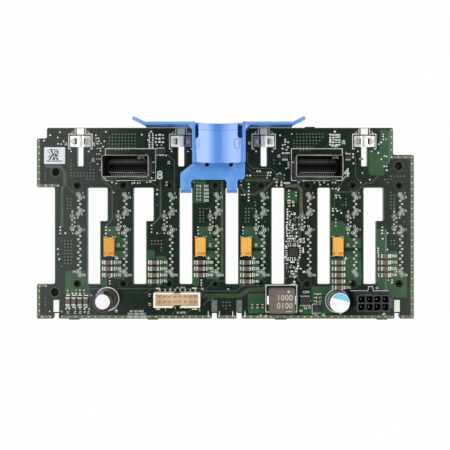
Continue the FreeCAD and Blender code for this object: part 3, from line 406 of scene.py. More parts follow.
def rounded(points, radius, steps=3):
    # the outline with each corner swapped for a short arc, never past half of a side
    made = []
    for index, point in enumerate(points):
        here = Vector(point)
        before = Vector(points[index - 1]) - here
        after = Vector(points[(index + 1) % len(points)]) - here
        reach = min(radius, before.length * 0.45, after.length * 0.45)
        start, end = here + before.normalized() * reach, here + after.normalized() * reach
        for step in range(steps + 1):
            t = step / steps
            made.append(tuple(start * (1 - t) ** 2 + here * 2 * t * (1 - t) + end * t * t))
    return made


def counterclockwise(points):
    area = sum(points[i - 1][0] * p[1] - p[0] * points[i - 1][1] for i, p in enumerate(points))
    return points if area > 0 else points[::-1]


def addStrip(mesh, points, width, low, high):
    # a flat run of one width along points, mitred at its bends
    path = [Vector(p) for p in points]
    left, right = [], []
    for index, here in enumerate(path):
        before = (here - path[index - 1]).normalized() if index else None
        after = (path[index + 1] - here).normalized() if index + 1 < len(path) else None
        along = ((before or after) + (after or before)).normalized()
        across = Vector((-along.y, along.x))
        shrink = across.dot(Vector((-(before or after).y, (before or after).x)))
        left.append(here + across * (width / 2 / shrink))
        right.append(here - across * (width / 2 / shrink))
    addPrism(mesh, counterclockwise([tuple(p) for p in left + right[::-1]]), low, high)


def addTurned(mesh, x, y, profile, steps, closed=False):
    # solid of revolution; its (radius, height) pairs start and end on the axis, or form a loop
    rings = []
    for radius, z in profile:
        rings.append([mesh.verts.new((x + radius * math.cos(math.tau * i / steps),
                                      y + radius * math.sin(math.tau * i / steps), z))
                      for i in (range(steps) if radius else (0,))])
    for low, high in zip(rings, rings[1:] + rings[:1] * closed):
        for i in range(steps):
            j = (i + 1) % steps
            corners = (low[i % len(low)], low[j % len(low)], high[j % len(high)],
                       high[i % len(high)])
            mesh.faces.new(list(dict.fromkeys(corners)))


def addRing(mesh, x, y, outer, inner, low, high, steps):
    addTurned(mesh, x, y, [(outer, low), (outer, high), (inner, high), (inner, low)], steps, True)


def linked(name, data):
    made = bpy.data.objects.new(name, data)
    bpy.context.scene.collection.objects.link(made)
    return made


def evaluated(made):
    bpy.context.view_layer.update()
    shown = made.evaluated_get(bpy.context.evaluated_depsgraph_get())
    return bpy.data.meshes.new_from_object(shown)


def finishMesh(mesh, name, finish, smooth=None, outward=True):
    # scales to metres and makes the object; smooth is the sharpest angle shaded round
    if outward:
        bmesh.ops.recalc_face_normals(mesh, faces=mesh.faces)
    bmesh.ops.scale(mesh, vec=(mm, mm, mm), verts=mesh.verts)
    data = bpy.data.meshes.new(name)
    mesh.to_mesh(data)
    mesh.free()
    data.materials.append(finishes[finish].material)
    if smooth is not None:
        shadeRound(data, smooth)
    return linked(name, data)


def shadeRound(data, angle):
    for face in data.polygons:
        face.use_smooth = True
    data.set_sharp_from_angle(angle=math.radians(angle))


def addPiece(made, slot, *replaced):
    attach(made, "root")
    if replaced:
        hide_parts(*replaced)
    return made


def addMesh(mesh, name, finish, slot, *replaced, smooth=None, outward=True):
    addPiece(finishMesh(mesh, name, finish, smooth, outward), slot, *replaced)


def applied(made):
    # the evaluated mesh takes the modifiers' place
    result = evaluated(made)
    made.modifiers.clear()
    made.data = result


soften = {"merge": 0.002, "flat": 1, "corner": 35}  # millimetres, degrees, degrees


def softened(node, name, finish, slot, width, smooth=40, segments=2):
    # a merged copy of the CAD node with its edges rounded stands in for it
    mesh = bmesh.new()
    mesh.from_mesh(cadNodes[node].data)
    bmesh.ops.scale(mesh, vec=(1 / mm,) * 3, verts=mesh.verts)
    bmesh.ops.remove_doubles(mesh, verts=mesh.verts, dist=soften["merge"])
    flat = math.radians(soften["flat"])
    bmesh.ops.dissolve_limit(mesh, angle_limit=flat, verts=mesh.verts, edges=mesh.edges)
    made = finishMesh(mesh, name, finish)
    bevel = made.modifiers.new("edges", "BEVEL")
    bevel.width = width * mm
    bevel.segments = segments
    bevel.limit_method = "ANGLE"
    bevel.angle_limit = math.radians(soften["corner"])
    applied(made)
    shadeRound(made.data, smooth)
    return addPiece(made, slot, node)


def joined(tree, *pairs):
    for start, end in pairs:
        tree.links.new(start, end)


def placedPartsTree():
    # one template part stands on every point, turned by the point's own value
    tree = bpy.data.node_groups.new("placedParts", "GeometryNodeTree")
    for name, kind in (
        ("Points", "Geometry"), ("Part", "Object"), ("Size spread", "Float"), ("Seed", "Int"),
        ("Finish", "Material"),
    ):
        tree.interface.new_socket(name, in_out="INPUT", socket_type="NodeSocket" + kind)
    tree.interface.new_socket("Geometry", in_out="OUTPUT", socket_type="NodeSocketGeometry")
    kinds = (
        "NodeGroupInput", "NodeGroupOutput", "GeometryNodeObjectInfo",
        "GeometryNodeInputNamedAttribute",
        "ShaderNodeCombineXYZ", "FunctionNodeRandomValue", "ShaderNodeMath", "ShaderNodeMath",
        "GeometryNodeInstanceOnPoints", "GeometryNodeRealizeInstances", "GeometryNodeSetMaterial",
    )
    start, end, part, turn, angles, size, smallest, largest, place, real, paint = map(
        tree.nodes.new, kinds)
    turn.data_type = size.data_type = "FLOAT"
    turn.inputs["Name"].default_value = "turn"
    smallest.operation, largest.operation = "SUBTRACT", "ADD"
    smallest.inputs[0].default_value = largest.inputs[0].default_value = 1.0
    joined(
        tree,
        (start.outputs["Points"], place.inputs["Points"]),
        (start.outputs["Part"], part.inputs["Object"]),
        (part.outputs["Geometry"], place.inputs["Instance"]),
        (turn.outputs["Attribute"], angles.inputs["Z"]),
        (angles.outputs["Vector"], place.inputs["Rotation"]),
        (start.outputs["Size spread"], smallest.inputs[1]),
        (start.outputs["Size spread"], largest.inputs[1]),
        (smallest.outputs[0], size.inputs[2]),
        (largest.outputs[0], size.inputs[3]),
        (start.outputs["Seed"], size.inputs["Seed"]),
        (size.outputs[1], place.inputs["Scale"]),
        (place.outputs["Instances"], real.inputs["Geometry"]),
        (real.outputs["Geometry"], paint.inputs["Geometry"]),
        (start.outputs["Finish"], paint.inputs["Material"]),
        (paint.outputs["Geometry"], end.inputs["Geometry"]),
    )
    return tree


placedParts = placedPartsTree()


def placeParts(name, template, places, finish, slot, spread=0.0, seed=1, smooth=None):
    # places are (x, y, z) or (x, y, z, turn in degrees)
    data = bpy.data.meshes.new(name)
    data.from_pydata([(p[0] * mm, p[1] * mm, p[2] * mm) for p in places], [], [])
    turns = data.attributes.new("turn", "FLOAT", "POINT")
    turns.data.foreach_set("value", [math.radians(p[3]) if len(p) > 3 else 0.0 for p in places])
    made = linked(name, data)
    modifier = made.modifiers.new("placedParts", "NODES")
    modifier.node_group = placedParts
    values = {"Part": template, "Size spread": spread, "Seed": seed,
              "Finish": finishes[finish].material}
    for item in placedParts.interface.items_tree:
        if item.name in values and item.in_out == "INPUT":
            modifier[item.identifier] = values[item.name]
    applied(made)
    if smooth is not None:
        shadeRound(made.data, smooth)
    used = template.data
    bpy.data.objects.remove(template)
    bpy.data.meshes.remove(used)
    addPiece(made, slot)


copper = {
    "pourHeight": 0.02, "traceHeight": 0.03, "stripHeight": 0.025, "layer": 0.001,
    "columnsWithTantalum": (2, 4, 5, 7),
}
pegRows, pegHole = (13.52, -25.28), 1.5
pours = [
    (0.6, [(-63.2, -20.2), (-55.6, -20.2), (-54.6, -25), (-53.3, -27.3), (-53.3, -34.2),
           (-63.2, -34.2)]),
    (0.2, [(-12.9, 15.7), (-7.7, 15.7), (-7.7, 6.6), (-12.9, 6.6)]),
    (0.3, [(23.9, 11.4), (28.4, 11.4), (28.4, 6.9), (23.9, 6.9)]),
    (0.8, [(8.9, -29), (15.6, -29), (15.6, -37), (8.9, -37)]),
    (0.5,
     [(33.9, -26.3), (42.5, -26.3), (42.5, -37.2), (29.1, -37.2), (29.1, -34.0), (33.9, -34.0)]),
    (0.8,
     [(-31, -11.9), (-27.9, -11.9), (-27.9, -15.5), (-28.8, -15.5), (-28.8, -26.2), (-31, -26.2)]),
    (0.8,
     [(-27.4, -14.3), (-23.9, -14.3), (-22.7, -15.9), (-22.7, -23.6), (-25, -24.6), (-25, -26.2),
           (-27.4, -26.2)]),
    (0.5, [(59.8, -3.5), (63.4, -3.5), (63.4, -27.9), (59.8, -27.9)]),
    (0.8, [(64, -12.4), (67.6, -12.4), (68.2, -13.5), (68.2, -19), (71.7, -21), (71.7, -30.7),
           (65.2, -30.7), (64.2, -27.7), (64, -27.7)]),
    (0.5, [(41.8, -0.5), (46.3, -0.5), (47.9, -2.1), (47.9, -7.2), (41.8, -7.2)]),
    (0.5, [(50.5, -7.3), (53.5, -7.3), (53.5, -11.2), (50.5, -11.2)]),
    (0.4, [(47, -12.4), (53.4, -12.4), (53.4, -14.9), (47, -14.9)]),
    (0.4, [(41.6, -15.2), (53.7, -15.2), (53.7, -25.9), (41.6, -25.9)]),
    (0.6, [(61.1, 35.5), (64.5, 35.5), (64.5, 23.4), (62.8, 21.5), (62.8, 17.6), (57.7, 17.6),
           (56.6, 18.7), (56.6, 27.6), (60.7, 27.6)]),
]
columnPours = [  # x from the drive column
    [(-6.2, -2.7), (-1.2, -2.7), (-1.2, -7.3), (1.9, -7.3), (1.9, -11.2), (-3, -11.2), (-6.9, -6.4),
     (-6.9, -3.6)],
    [(-3.4, -12.3), (1.9, -12.3), (1.9, -15.4), (-3.4, -15.4)],
    [(-8.9, -15.9), (-6.3, -15.9), (-6.3, -26.2), (-8.9, -26.2)],
    [(-3.6, -15.9), (-1.6, -15.9), (0, -20.2), (0.8, -23.4), (-3.6, -23.4)],
]
traces = {  # of each finish: width, then the points of one run
    "grey": [
        (0.5, [(-8.8, -33.7), (-6.9, -31.8), (-4.5, -30.9)]),
        (0.35, [(-54.3, -27.2), (-10, -27.2), (-8.6, -28.1), (-7.7, -27.3), (-4.5, -24.2),
                (-0.6, -24.2)]),
        (0.35, [(-9.8, -29.1), (-7.8, -28.1), (4.2, -28.1), (7, -25.9), (14.5, -25.9)]),
        (0.9, [(-64.5, -2.9), (-64.5, 12.6), (-63.6, 13.5), (-63.6, 19.1), (-65.2, 21.1),
               (-70.9, 21.1)]),
        (0.3, [(-62.8, 18.5), (-62.8, 13.7), (-59.8, 10.6)]),
        (0.5, [(-49, 16.5), (-48, 14.9), (-46, 13.7), (-44.7, 12.2), (-44.7, 0.3), (-47, -2.5)]),
        (0.25, [(-45.8, 15.7), (-43.2, 12.8), (-43.2, 11.8)]),
        (0.7, [(-25.6, 15.4), (-25.6, 1.3), (-29.1, -2.2)]), (0.3, [(-29.2, 15.1), (-26.6, 12.8)]),
        (0.4, [(-20.1, 11.2), (-20.1, 23.3), (-22.6, 25.5)]),
        (1.0, [(-1.3, 15.3), (-1.3, -20.6), (-3.7, -23.8)]),
        (0.35, [(8.8, 26.6), (8.8, 22.5), (10.8, 20.3), (17.9, 20.3), (19.8, 18.6), (19.8, 16.5)]),
        (0.35, [(8.6, 20.6), (10.7, 18.6), (16.4, 18.6)]), (0.35, [(10, 17.5), (16.1, 17.5)]),
        (0.35, [(28.2, -22.8), (30, -25), (30, -27.3)]),
        (0.35, [(53.6, 14.7), (51.4, 16.9), (51.4, 24.7), (50, 25.8)]),
        (0.4, [(47.8, 16.3), (44.1, 12.6)]), (0.35, [(43, 10.6), (43, 4.3)]),
        (0.3, [(-32.1, -29.3), (-29, -27.3)]), (0.25, [(-27, -5.3), (-24.1, -5.3)]),
        (0.25, [(64, -5.3), (66.6, -5.3)]), (0.35, [(-15.4, 28.2), (-15.4, 22)]),
        (0.4, [(-19.5, -35.5), (-21.3, -37.7)]), (0.4, [(-14, -35.5), (-15.9, -37.7)]),
        (0.3, [(39, 28.2), (41.3, 30.3)]), (0.3, [(29.7, 2.3), (29.7, -8.4)]),
        (0.3, [(30.5, 2.3), (30.5, -2.5)]),
    ],
    "olive": [
        (1.7, [(-9.8, -30), (3, -30), (5.8, -30), (9.3, -27.6), (16.2, -27.6)]),
        (0.35, [(8.5, 16.5), (16.2, 16.5)]), (1.0, [(7.5, 15.6), (18, 15.6)]),
        (1.0, [(5.2, 13.9), (8.5, 10.1), (11.9, 10.1), (13.3, 11.2), (14.9, 11.2), (19.4, 15.4)]),
        (0.7, [(61.1, 17.8), (57.5, 14.5), (55.4, 14.5), (51.8, 11.1), (43.7, 10.9), (41.9, 12.8)]),
    ],
    "brown": [
        (1.3, [(23.6, 13.5), (28.5, 13.5), (29.9, 11.8), (29.9, 2.3)]),
        (0.2, [(24.85, 0.6), (24.85, -9.2)]), (0.2, [(25.95, -0.4), (25.95, -9.2)]),
        (0.2, [(27.05, 1.2), (27.05, -9.2)]),
        (0.24, [(27.8, 2.2), (27.8, -4.4), (27.4, -5.1), (27.4, -9.2)]),
        (0.5, [(29.6, 2.3), (29.0, 0.6), (29.0, -9.3)]),
        (0.2, [(24.2, -15.8), (24.2, -20.6), (25.4, -22.2), (28.2, -22.2)]),
        (0.2, [(24.9, -16.2), (24.9, -20.2), (26.1, -21.7)]),
        (0.2, [(25.6, -16.2), (25.6, -18.2), (24.8, -19.6)]), (0.4, [(28.5, -14.8), (28.5, -22.6)]),
        (0.2, [(29.3, -15.2), (29.3, -18.6)]),
    ],
    "pale": [(0.7, [(63.4, -3.8), (63.4, -27.7)]), (0.5, [(64.7, 35.1), (64.7, 23.3), (63, 21.3)])],
}
pourMesh = bmesh.new()
for index, (radius, outline) in enumerate(pours):
    lift = copper["layer"] * index  # where pours overlap, no two faces lie at one height
    addPrism(pourMesh, counterclockwise(rounded(outline, radius)), copperBase - lift,
             boardTop + copper["pourHeight"] + lift)
for column in copper["columnsWithTantalum"]:
    for outline in columnPours:
        placed = [(columnX[column - 1] + x, y) for x, y in outline]
        addPrism(pourMesh, counterclockwise(rounded(placed, 0.6)), copperBase,
                 boardTop + copper["pourHeight"])
pourPiece = finishMesh(pourMesh, "copperPours", "pour")
pegSpots = [(x, y) for x in columnX for y in pegRows]
cutterMesh = bmesh.new()
for x, y in pegSpots:
    addTurned(cutterMesh, x, y,
              [(0, boardTop - 1), (pegHole, boardTop - 1), (pegHole, boardTop + 1),
                                 (0, boardTop + 1)], 32)
cutter = finishMesh(cutterMesh, "pegCutter", "pour")
holes = pourPiece.modifiers.new("pegHoles", "BOOLEAN")
holes.operation = "DIFFERENCE"
holes.solver = "EXACT"
holes.use_self = True
holes.object = cutter
applied(pourPiece)
bpy.data.objects.remove(cutter)
addPiece(pourPiece, "board")

for kind, runs in traces.items():
    traceMesh = bmesh.new()
    for width, points in runs:
        addStrip(traceMesh, points, width, copperBase, boardTop + copper["traceHeight"])
    addMesh(traceMesh, kind + "Traces", kind, "board")

# along every longer edge of the board the mask lies on bare laminate, so it is a little greener
margins = {"width": 0.5, "height": 0.008, "shortest": 3.0, "layer": 0.00005}
marginMesh = bmesh.new()
boardMesh = bmesh.new()
boardMesh.from_mesh(cadNodes["circuit_board"].data)
bmesh.ops.remove_doubles(boardMesh, verts=boardMesh.verts, dist=soften["merge"] * mm)
boardMesh.normal_update()
lift = margins["height"]
for edge in boardMesh.edges:
    first, second = (v.co / mm for v in edge.verts)
    side = [face for face in edge.link_faces if abs(face.normal.z) < 0.3]
    lowest, length = min(first.z, second.z), (second - first).length
    if len(side) != 1 or lowest < legendBase or length < margins["shortest"]:
        continue
    inward = side[0].normal * -margins["width"]
    corners = [(first.x, first.y), (second.x, second.y), (second.x + inward.x, second.y + inward.y),
               (first.x + inward.x, first.y + inward.y)]
    lift += margins["layer"]
    addPrism(marginMesh, counterclockwise(corners), legendBase, boardTop + lift)
boardMesh.free()
addMesh(marginMesh, "boardMargins", "margin", "board")

# ring of bare-looking copper along the board's edge, broken at the notches
edgeStrip = {
    "bottom": [(-73.2, -68.6), (-64.8, -5.7), (-3.1, 4.1), (6.8, 66.4), (69.1, 73.4)],
    "bottomY": (-38.95, -37.7), "width": 1.1,
    "runs": [
        [(-73.75, -38.3), (-73.75, -25.9), (-70.6, -25.9)],
        [(-73.75, 31.7), (-73.75, 13.5), (-65.6, 13.5)],
        [(73.65, -38.3), (73.65, 24.7), (65.6, 24.7), (65.6, 35.9)],
    ],
}
stripMesh = bmesh.new()
low, high = edgeStrip["bottomY"]
for left, right in edgeStrip["bottom"]:
    addBlock(stripMesh, (left + right) / 2, (low + high) / 2, right - left, high - low, copperBase,
             boardTop + copper["stripHeight"])
for run in edgeStrip["runs"]:
    addStrip(stripMesh, run, edgeStrip["width"], copperBase,
             boardTop + copper["stripHeight"] - 0.003)
addMesh(stripMesh, "edgeStrip", "edge", "board")
print("copper laid")


vias = {"pitch": 1.27, "radius": 0.33, "hole": 0.15, "height": 0.035, "ringBed": 0.01,
        "dotBed": 0.005}
viaFields = [  # x, y, columns, rows from the upper left
    (-44.6, 33.8, 8, 1), (-45.9, 32.5, 9, 4), (-43.3, 27.5, 5, 1), (28.3, 33.9, 9, 2),
    (27.1, 31.3, 9, 1), (27.1, 30.1, 8, 1), (27.1, 28.8, 7, 1), (29.5, 27.5, 4, 1),
    (-63.4, -8.3, 3, 8), (-64.7, -8.3, 1, 1), (-64.7, -18.4, 1, 1), (-61, 23.6, 1, 5),
    (-53.5, 22.4, 1, 3), (-52.1, 19.8, 1, 2), (-59.7, 18.5, 6, 1), (-61, 17.3, 8, 1),
    (-54.7, 16, 3, 1), (-62.3, 8.3, 2, 4), (-29.1, -8.3, 4, 2), (-25.3, -10.9, 1, 2),
    (-10, 4.4, 4, 1),
    (-10, 3.1, 2, 3), (-10, -0.6, 2, 1), (8, 4.4, 4, 1), (8, 3.1, 2, 3), (8, -0.7, 2, 1),
    (15.7, -0.7, 1, 1), (11.8, 7, 1, 2), (65.4, 10.9, 1, 1), (65.4, 9.6, 2, 5), (65.5, -8.3, 2, 2),
    (65.5, 17.2, 5, 1), (63, 15.9, 3, 1), (64.2, 14.7, 1, 1), (47.6, 8.3, 1, 3), (46.3, 5.8, 1, 1),
    (-0.9, -32.6, 3, 2), (0.2, -35.1, 1, 1), (-71.1, -31.1, 1, 3), (-71.1, 21.1, 1, 1),
    (-71.1, 18.5, 1, 3), (-27, 5.8, 1, 1), (47.6, 26.6, 1, 1), (45.3, 3.9, 1, 1),
    (70.5, -0.6, 1, 1),
    (19.2, 23.6, 1, 2),
]
bareDots = [
    (-65.4, 34.6), (-69.2, 33.4), (-66.2, 32.5), (-71.6, 31.3), (-63.9, 31), (-66.1, 30),
    (-64.8, 29.9), (-61, 27), (-54, 27), (-47.2, 34.8), (-51.1, 33.4), (-51, 32.1), (-50.1, 32.2),
    (-51, 31), (-50, 31.1), (-50.5, 30.1), (-49.1, 30.2), (-47.8, 31), (-48.3, 28.9), (-50.5, 28.2),
    (-49.4, 28.2), (-49.3, 27.2), (-50.4, 22), (-49, 20.9), (-49.5, 19.7), (-63.2, -5.3),
    (-65.2, -2.9), (-65.2, -4.1), (-65.2, -5.4), (-66.2, -11.5), (-66, -13.6), (-65.6, -15.6),
    (-60.3, -5.3), (-42.1, -5.3), (-45.8, -4.1), (-47.2, -2.9), (-47.2, -4.1), (-47.2, -5.4),
    (-44.1, 10.8), (-45.7, -22.8), (-45.7, -24.1), (-45.7, -25.2), (-44.8, 14.8), (-43.8, 15.4),
    (-43.1, 14.4), (-42.5, 15.4), (-36.8, 14.4), (-35.9, 14.6), (-33.7, 14.6), (-34.6, 14.5),
    (-31, 14.8), (-29.7, 14.9), (-29.3, 34.8), (-33, 33.6), (-30.3, 31.4), (-30, 29.5),
    (-28.8, 29.7),
    (-28.7, 28.7), (-30, 28.7), (-26.9, 11.9), (-27, 10.1), (-21.2, 27), (-14.8, 27), (-12.6, 14.9),
    (-29.2, -2.2), (-29.1, -3.6), (-29.2, -4.9), (-27, -5.3), (-24.1, -5.3), (-10.8, -2.9),
    (-10.8, -4.2), (-10.7, -5.5), (-6.1, -5.3), (-9.5, -23.8), (-9.5, -24.9), (-9.5, -25.9),
    (12.1, 27), (18.6, 27), (21.6, 33.4), (23.6, 31), (24.8, 30.6), (21.5, 22.3), (20.2, 13.6),
    (22.2, 13.6), (23.1, 17.6), (12.6, 19.2), (13.7, 19.2), (16.9, 18.6), (17.9, 18.7),
    (16.7, 17.6),
    (17.7, 17.6), (16.5, 16.6), (8.5, 17.5), (9.7, 17.5), (6.2, 15.2), (6.3, 13.7), (9.2, 14.1),
    (9.2, 12.8), (9.2, 11.4), (9.2, 10.1), (9.2, 8.8), (9.2, 7.6), (6.4, 9.9), (7.5, 9.9),
    (7, -2.9),
    (7, -4.2), (7, -5.5), (12.1, -5.3), (26.2, 33.9), (28.9, 14.8), (30.9, 15.2), (35.2, 14.8),
    (37, 14.8), (39, 14.8), (37.4, 13.9), (40.5, 14), (42.3, 14.7), (43.4, 14.7), (25.1, 11.5),
    (25.1, 10.3), (25.1, 9.1), (27.9, 10.8), (27.9, 9.6), (24.5, 3.1), (24.5, 2.1), (24.5, 1.3),
    (24.5, 0.5), (26.1, 2.3), (27.3, 2.1), (25.5, -0.3), (26.6, -2.2), (26.5, -3.1), (25.3, -4.2),
    (24.3, -1.1), (25.6, -1.1), (24.3, -3), (24.5, -3.8), (24.4, -6.3), (24.7, -7.4), (25.8, -7.4),
    (26.9, -7.3), (25.6, -6.5), (28, -6.7), (26.3, -25.6), (27.4, -25.6), (27.4, -24.6),
    (41.4, 31.1),
    (41.4, 29.7), (52.3, 27), (57.7, 27), (62.4, 33.8), (62.3, 32.9), (62.4, 31.7), (63.5, 31.8),
    (61.5, 30.6), (60.6, 29.9), (60.4, 26.4), (61.6, 23.9), (63.6, 25), (62.8, 25.3), (62.7, 21.1),
    (63.7, 21.1), (63.7, 19.6), (57, 15.9), (54.1, 18.5), (53.5, 14.7), (50.6, 22.3), (42.4, 12.3),
    (43.7, 12.3), (44.9, 12.3), (44.5, 11.6), (43.7, 9.6), (44.9, 9.6), (43.8, 8.7), (45.4, 8.7),
    (42.4, 4.4), (43.7, 4.4), (42.5, 3.5), (44.2, 3.5), (45.8, 2.7), (42.5, 1.9), (43.6, 0.2),
    (43.6, -1.1), (43.6, -2.4), (62, -2.9), (61.9, -4.2), (61.9, -5.4), (64, -5.3), (62.1, -7.5),
    (66.6, -5.3), (60.3, -11.3), (60.3, -12.2), (60.3, -13), (64, -11.8), (64.4, -23.8),
    (65.8, -23.8),
    (65.8, -24.8), (-69.4, -36.2), (-64.7, -36.2), (-55.5, -36.4), (-52.9, -29.9), (48.4, -5.3),
    (-62.3, -27.9), (-58.9, -27.9), (-57.4, -27.8), (-55.8, -27.9), (-62.3, -29.1), (-60.4, -29.1),
    (-58.9, -29.1), (-57.4, -29.1), (-55.8, -29.1), (-62.5, -30), (-58.9, -30), (-57.6, -30),
    (-55.7, -30), (-54.4, -30), (-62.9, -35.2), (-61.6, -35.2), (-59.2, -35.2), (-57.4, -35.2),
    (-55.6, -35.2), (-53.8, -35.2), (-28.5, 22.8), (-28.5, 18.7), (-29.2, 16.5), (26.7, 22.7),
    (27.3, 16.5), (-46.2, 16.7), (-31, 16.3),
]
stitchRuns = [  # x and y of both ends, step
    (-72.4, -38.3, -69.2, -38.3, 2.55), (-64.5, -38.3, -6.2, -38.3, 2.65),
    (-2.6, -38.3, 3.6, -38.3, 2.55), (7.4, -38.3, 65.9, -38.3, 2.65),
    (70.2, -38.3, 73.65, -38.3, 3.4),
    (73.65, -35.8, 73.65, 24.7, 2.55), (71.1, 24.7, 65.6, 24.7, 2.7), (65.6, 27.7, 65.6, 35.4, 2.6),
    (-73.6, 31.3, -73.6, 13.6, 2.55), (-71, 13.5, -66, 13.5, 2.5),
    (-73.5, -28.1, -73.5, -35.9, 2.6),
    (-73.4, -26.2, -70.8, -26.2, 2.6),
]
stitches = []
for startX, startY, endX, endY, step in stitchRuns:
    start, end = Vector((startX, startY)), Vector((endX, endY))
    count = max(1, round((end - start).length / step))
    stitches += [tuple(start.lerp(end, i / count)) for i in range(count + 1)]
sunk = 0.02  # how far a placed part goes into the surface it stands on


def turnedPart(name, finish, profile, steps):
    mesh = bmesh.new()
    addTurned(mesh, 0, 0, profile, steps)
    return finishMesh(mesh, name, finish)


def viaRing(name, side):
    # low dished ring, on the board (side 1) or under it (-1)
    radius, height = vias["radius"], vias["height"] * side
    return turnedPart(name, "via",
                      [(0, -sunk * side), (radius, -sunk * side), (radius * 0.9, height),
                                    (vias["hole"], height), (0, height * 0.4)], 10)


def solderDot(radius, height, steps=10):
    # squashed drop of solder
    return turnedPart("solderDot", "solder",
                      [(0, -sunk), (radius, -sunk), (radius * 0.93, height * 0.35),
                                              (radius * 0.62, height * 0.8), (0, height)], steps)


fieldPlaces = [(x + vias["pitch"] * i, y - vias["pitch"] * j) for x, y, columns, rows in viaFields
               for i in range(columns) for j in range(rows)]
ringTop, dotTop = (boardTop + copper["pourHeight"] - vias[bed] for bed in ("ringBed", "dotBed"))
fieldSpots = [(x, y, ringTop) for x, y in fieldPlaces]
placeParts("maskedVias", viaRing("viaRing", 1), fieldSpots, "via", "board", 0.06, 3)
for name, dot, places, spread, seed in (("bareVias", solderDot(0.34, 0.09), bareDots, 0.22, 5),
                                        ("stitchingVias", solderDot(0.27, 0.05), stitches, 0.1, 7)):
    spots = [(x, y, dotTop) for x, y in places]
    placeParts(name, dot, spots, "solder", "tin", spread, seed, 60)

pinTails = {"height": 0.16, "steps": 12}
pinRuns = [  # x of even and odd pins from the drive column, first y, count, pitch, ringed pins
    (0.45, 1.25, 10.0, 7, 1.27, (0, 1, 5, 6)), (1.25, 0.45, -3.95, 15, 1.27, (0, 1, 13, 14)),
    (-1.95, -0.95, 1.45, 7, 0.8, (0, 6)),
]
tails, fineTails, endTails = [], [], []
for x in columnX:
    for even, odd, firstY, count, pitch, ends in pinRuns:
        spots = [(x + (odd if i % 2 else even), firstY - pitch * i, boardTop) for i in range(count)]
        (fineTails if pitch < 1 else tails).extend(spots)
        endTails += [spots[i] for i in ends]
for name, radius, eye, spots, seed in (("drivePinSolder", 0.47, 0.2, tails, 11),
                                       ("fineDrivePinSolder", 0.38, 0.15, fineTails, 13)):
    # collar of solder, open in its middle, where a dark disc of painted shade is laid below
    height = pinTails["height"]
    tail = turnedPart("pinTail", "solder",
                      [(0, -sunk), (radius, -sunk), (radius * 0.95, height * 0.4),
                                            (radius * 0.7, height), (eye, height * 0.75),
                                            (eye, sunk),
                                            (0, sunk)], pinTails["steps"])
    placeParts(name, tail, spots, "solder", "tin", 0.05, seed, 60)
# dark discs of painted shade in the collars' holes
pinEye = turnedPart("pinEye", "hole", [(0, -sunk), (0.23, -sunk), (0.23, 0.06), (0, 0.06)], 8)
placeParts("drivePinEyes", pinEye, tails + fineTails, "hole", "board")
print("vias and solder placed")


legend = {"height": 0.045, "line": 0.32, "thin": 0.2, "fine": 0.24}
silkTop = boardTop + legend["height"]
silkMesh = bmesh.new()


def silkLine(points, width=legend["line"]):
    addStrip(silkMesh, points, width, legendBase, silkTop)


def silkFrame(left, right, front, back, width=legend["line"]):
    half = width / 2
    for y in (front, back):
        silkLine([(left - half, y), (right + half, y)], width)
    for x in (left, right):
        silkLine([(x, front + half), (x, back - half)], width)


clipFrame = {"side": 0.55, "front": 0.75, "back": 0.7, "gap": 1.9, "return": 0.9, "post": 2.1,
             "end": 0.65}
for number in range(1, 5):
    low, high = edges(f"grounding_clip_{number}")
    x, half = (low.x + high.x) / 2, (high.x - low.x) / 2 + clipFrame["side"]
    front, back = low.y - clipFrame["front"], high.y + clipFrame["back"]
    for side in (-1, 1):
        outer, post = x + side * half, x + side * clipFrame["post"]
        silkLine([(x + side * clipFrame["gap"], back), (outer, back), (outer, front),
                  (outer - side * clipFrame["return"], front)])
        silkLine([(post, back + 0.3), (post, boardHigh.y - clipFrame["end"])])
        silkLine([(x + side * 3.7, back + 0.2), (x + side * 2.8, back + 1.2)], legend["thin"])
cableFrame = {"front": 4.87, "back": 7.69, "line": 0.27, "tick": 1.5}
for letter, side, leftReach, rightReach in (("a", 1, 9.6, 10.2), ("b", -1, 10.15, 9.94)):
    centre = middle(f"cable_socket_shell_{letter}")
    left, right = centre.x - leftReach, centre.x + rightReach
    front, back = centre.y - cableFrame["front"], centre.y + cableFrame["back"]
    silkFrame(left, right, front, back, cableFrame["line"])
    corner = left if side > 0 else right
    tick = [(corner - side * cableFrame["tick"], front + 1.9), (corner, front + 0.2)]
    silkLine(tick, cableFrame["line"])
low, high = edges("inductor_core")
silkFrame(low.x - 1.0, high.x + 0.9, low.y + 0.3, high.y + 0.9, 0.4)
low, high = edges("power_socket")
silkLine([(low.x - 0.4, high.y - 0.3), (low.x + 6.5, high.y - 0.3), (low.x + 6.8, high.y + 1.4),
          (low.x + 8.3, high.y + 1.4), (low.x + 8.6, high.y - 0.3), (high.x + 0.2, high.y - 0.3)],
          0.28)
for node, inner, outer in (("electrolytic_sleeve", 4.3, 4.75), ("polymer_can", 4.35, 4.7)):
    centre = middle(node)
    addRing(silkMesh, centre.x, centre.y, outer, inner, legendBase, silkTop, 56)
endRing = {"outer": 0.92, "inner": 0.8, "lower": 0.01}
for x, y, _ in endTails:
    addRing(silkMesh, x, y, endRing["outer"], endRing["inner"], legendBase,
            silkTop - endRing["lower"], 16)
for number in range(1, 5):
    low, high = edges(f"tantalum_capacitor_{number}")
    for x in (low.x + 0.05, low.x + 0.75, high.x - 0.95, high.x - 0.05):
        for y in (low.y - 0.3, high.y + 0.35):
            addBlock(silkMesh, x, y, 0.4, 0.42, legendBase, silkTop)
for x in (-6.75, -2.4, 2.9, 4.5, 7.75):
    silkLine([(x, -38.3), (x, -36.1)])
for x, y, length in ((-26.6, -27.1, 1.6), (-12.2, -27.0, 2.0), (-26.6, -35.3, 1.6),
                     (-12.2, -35.3, 2.0)):
    silkLine([(x - length / 2, y), (x + length / 2, y)], 0.5)
plus = {"reach": 0.75, "gap": 0.17}
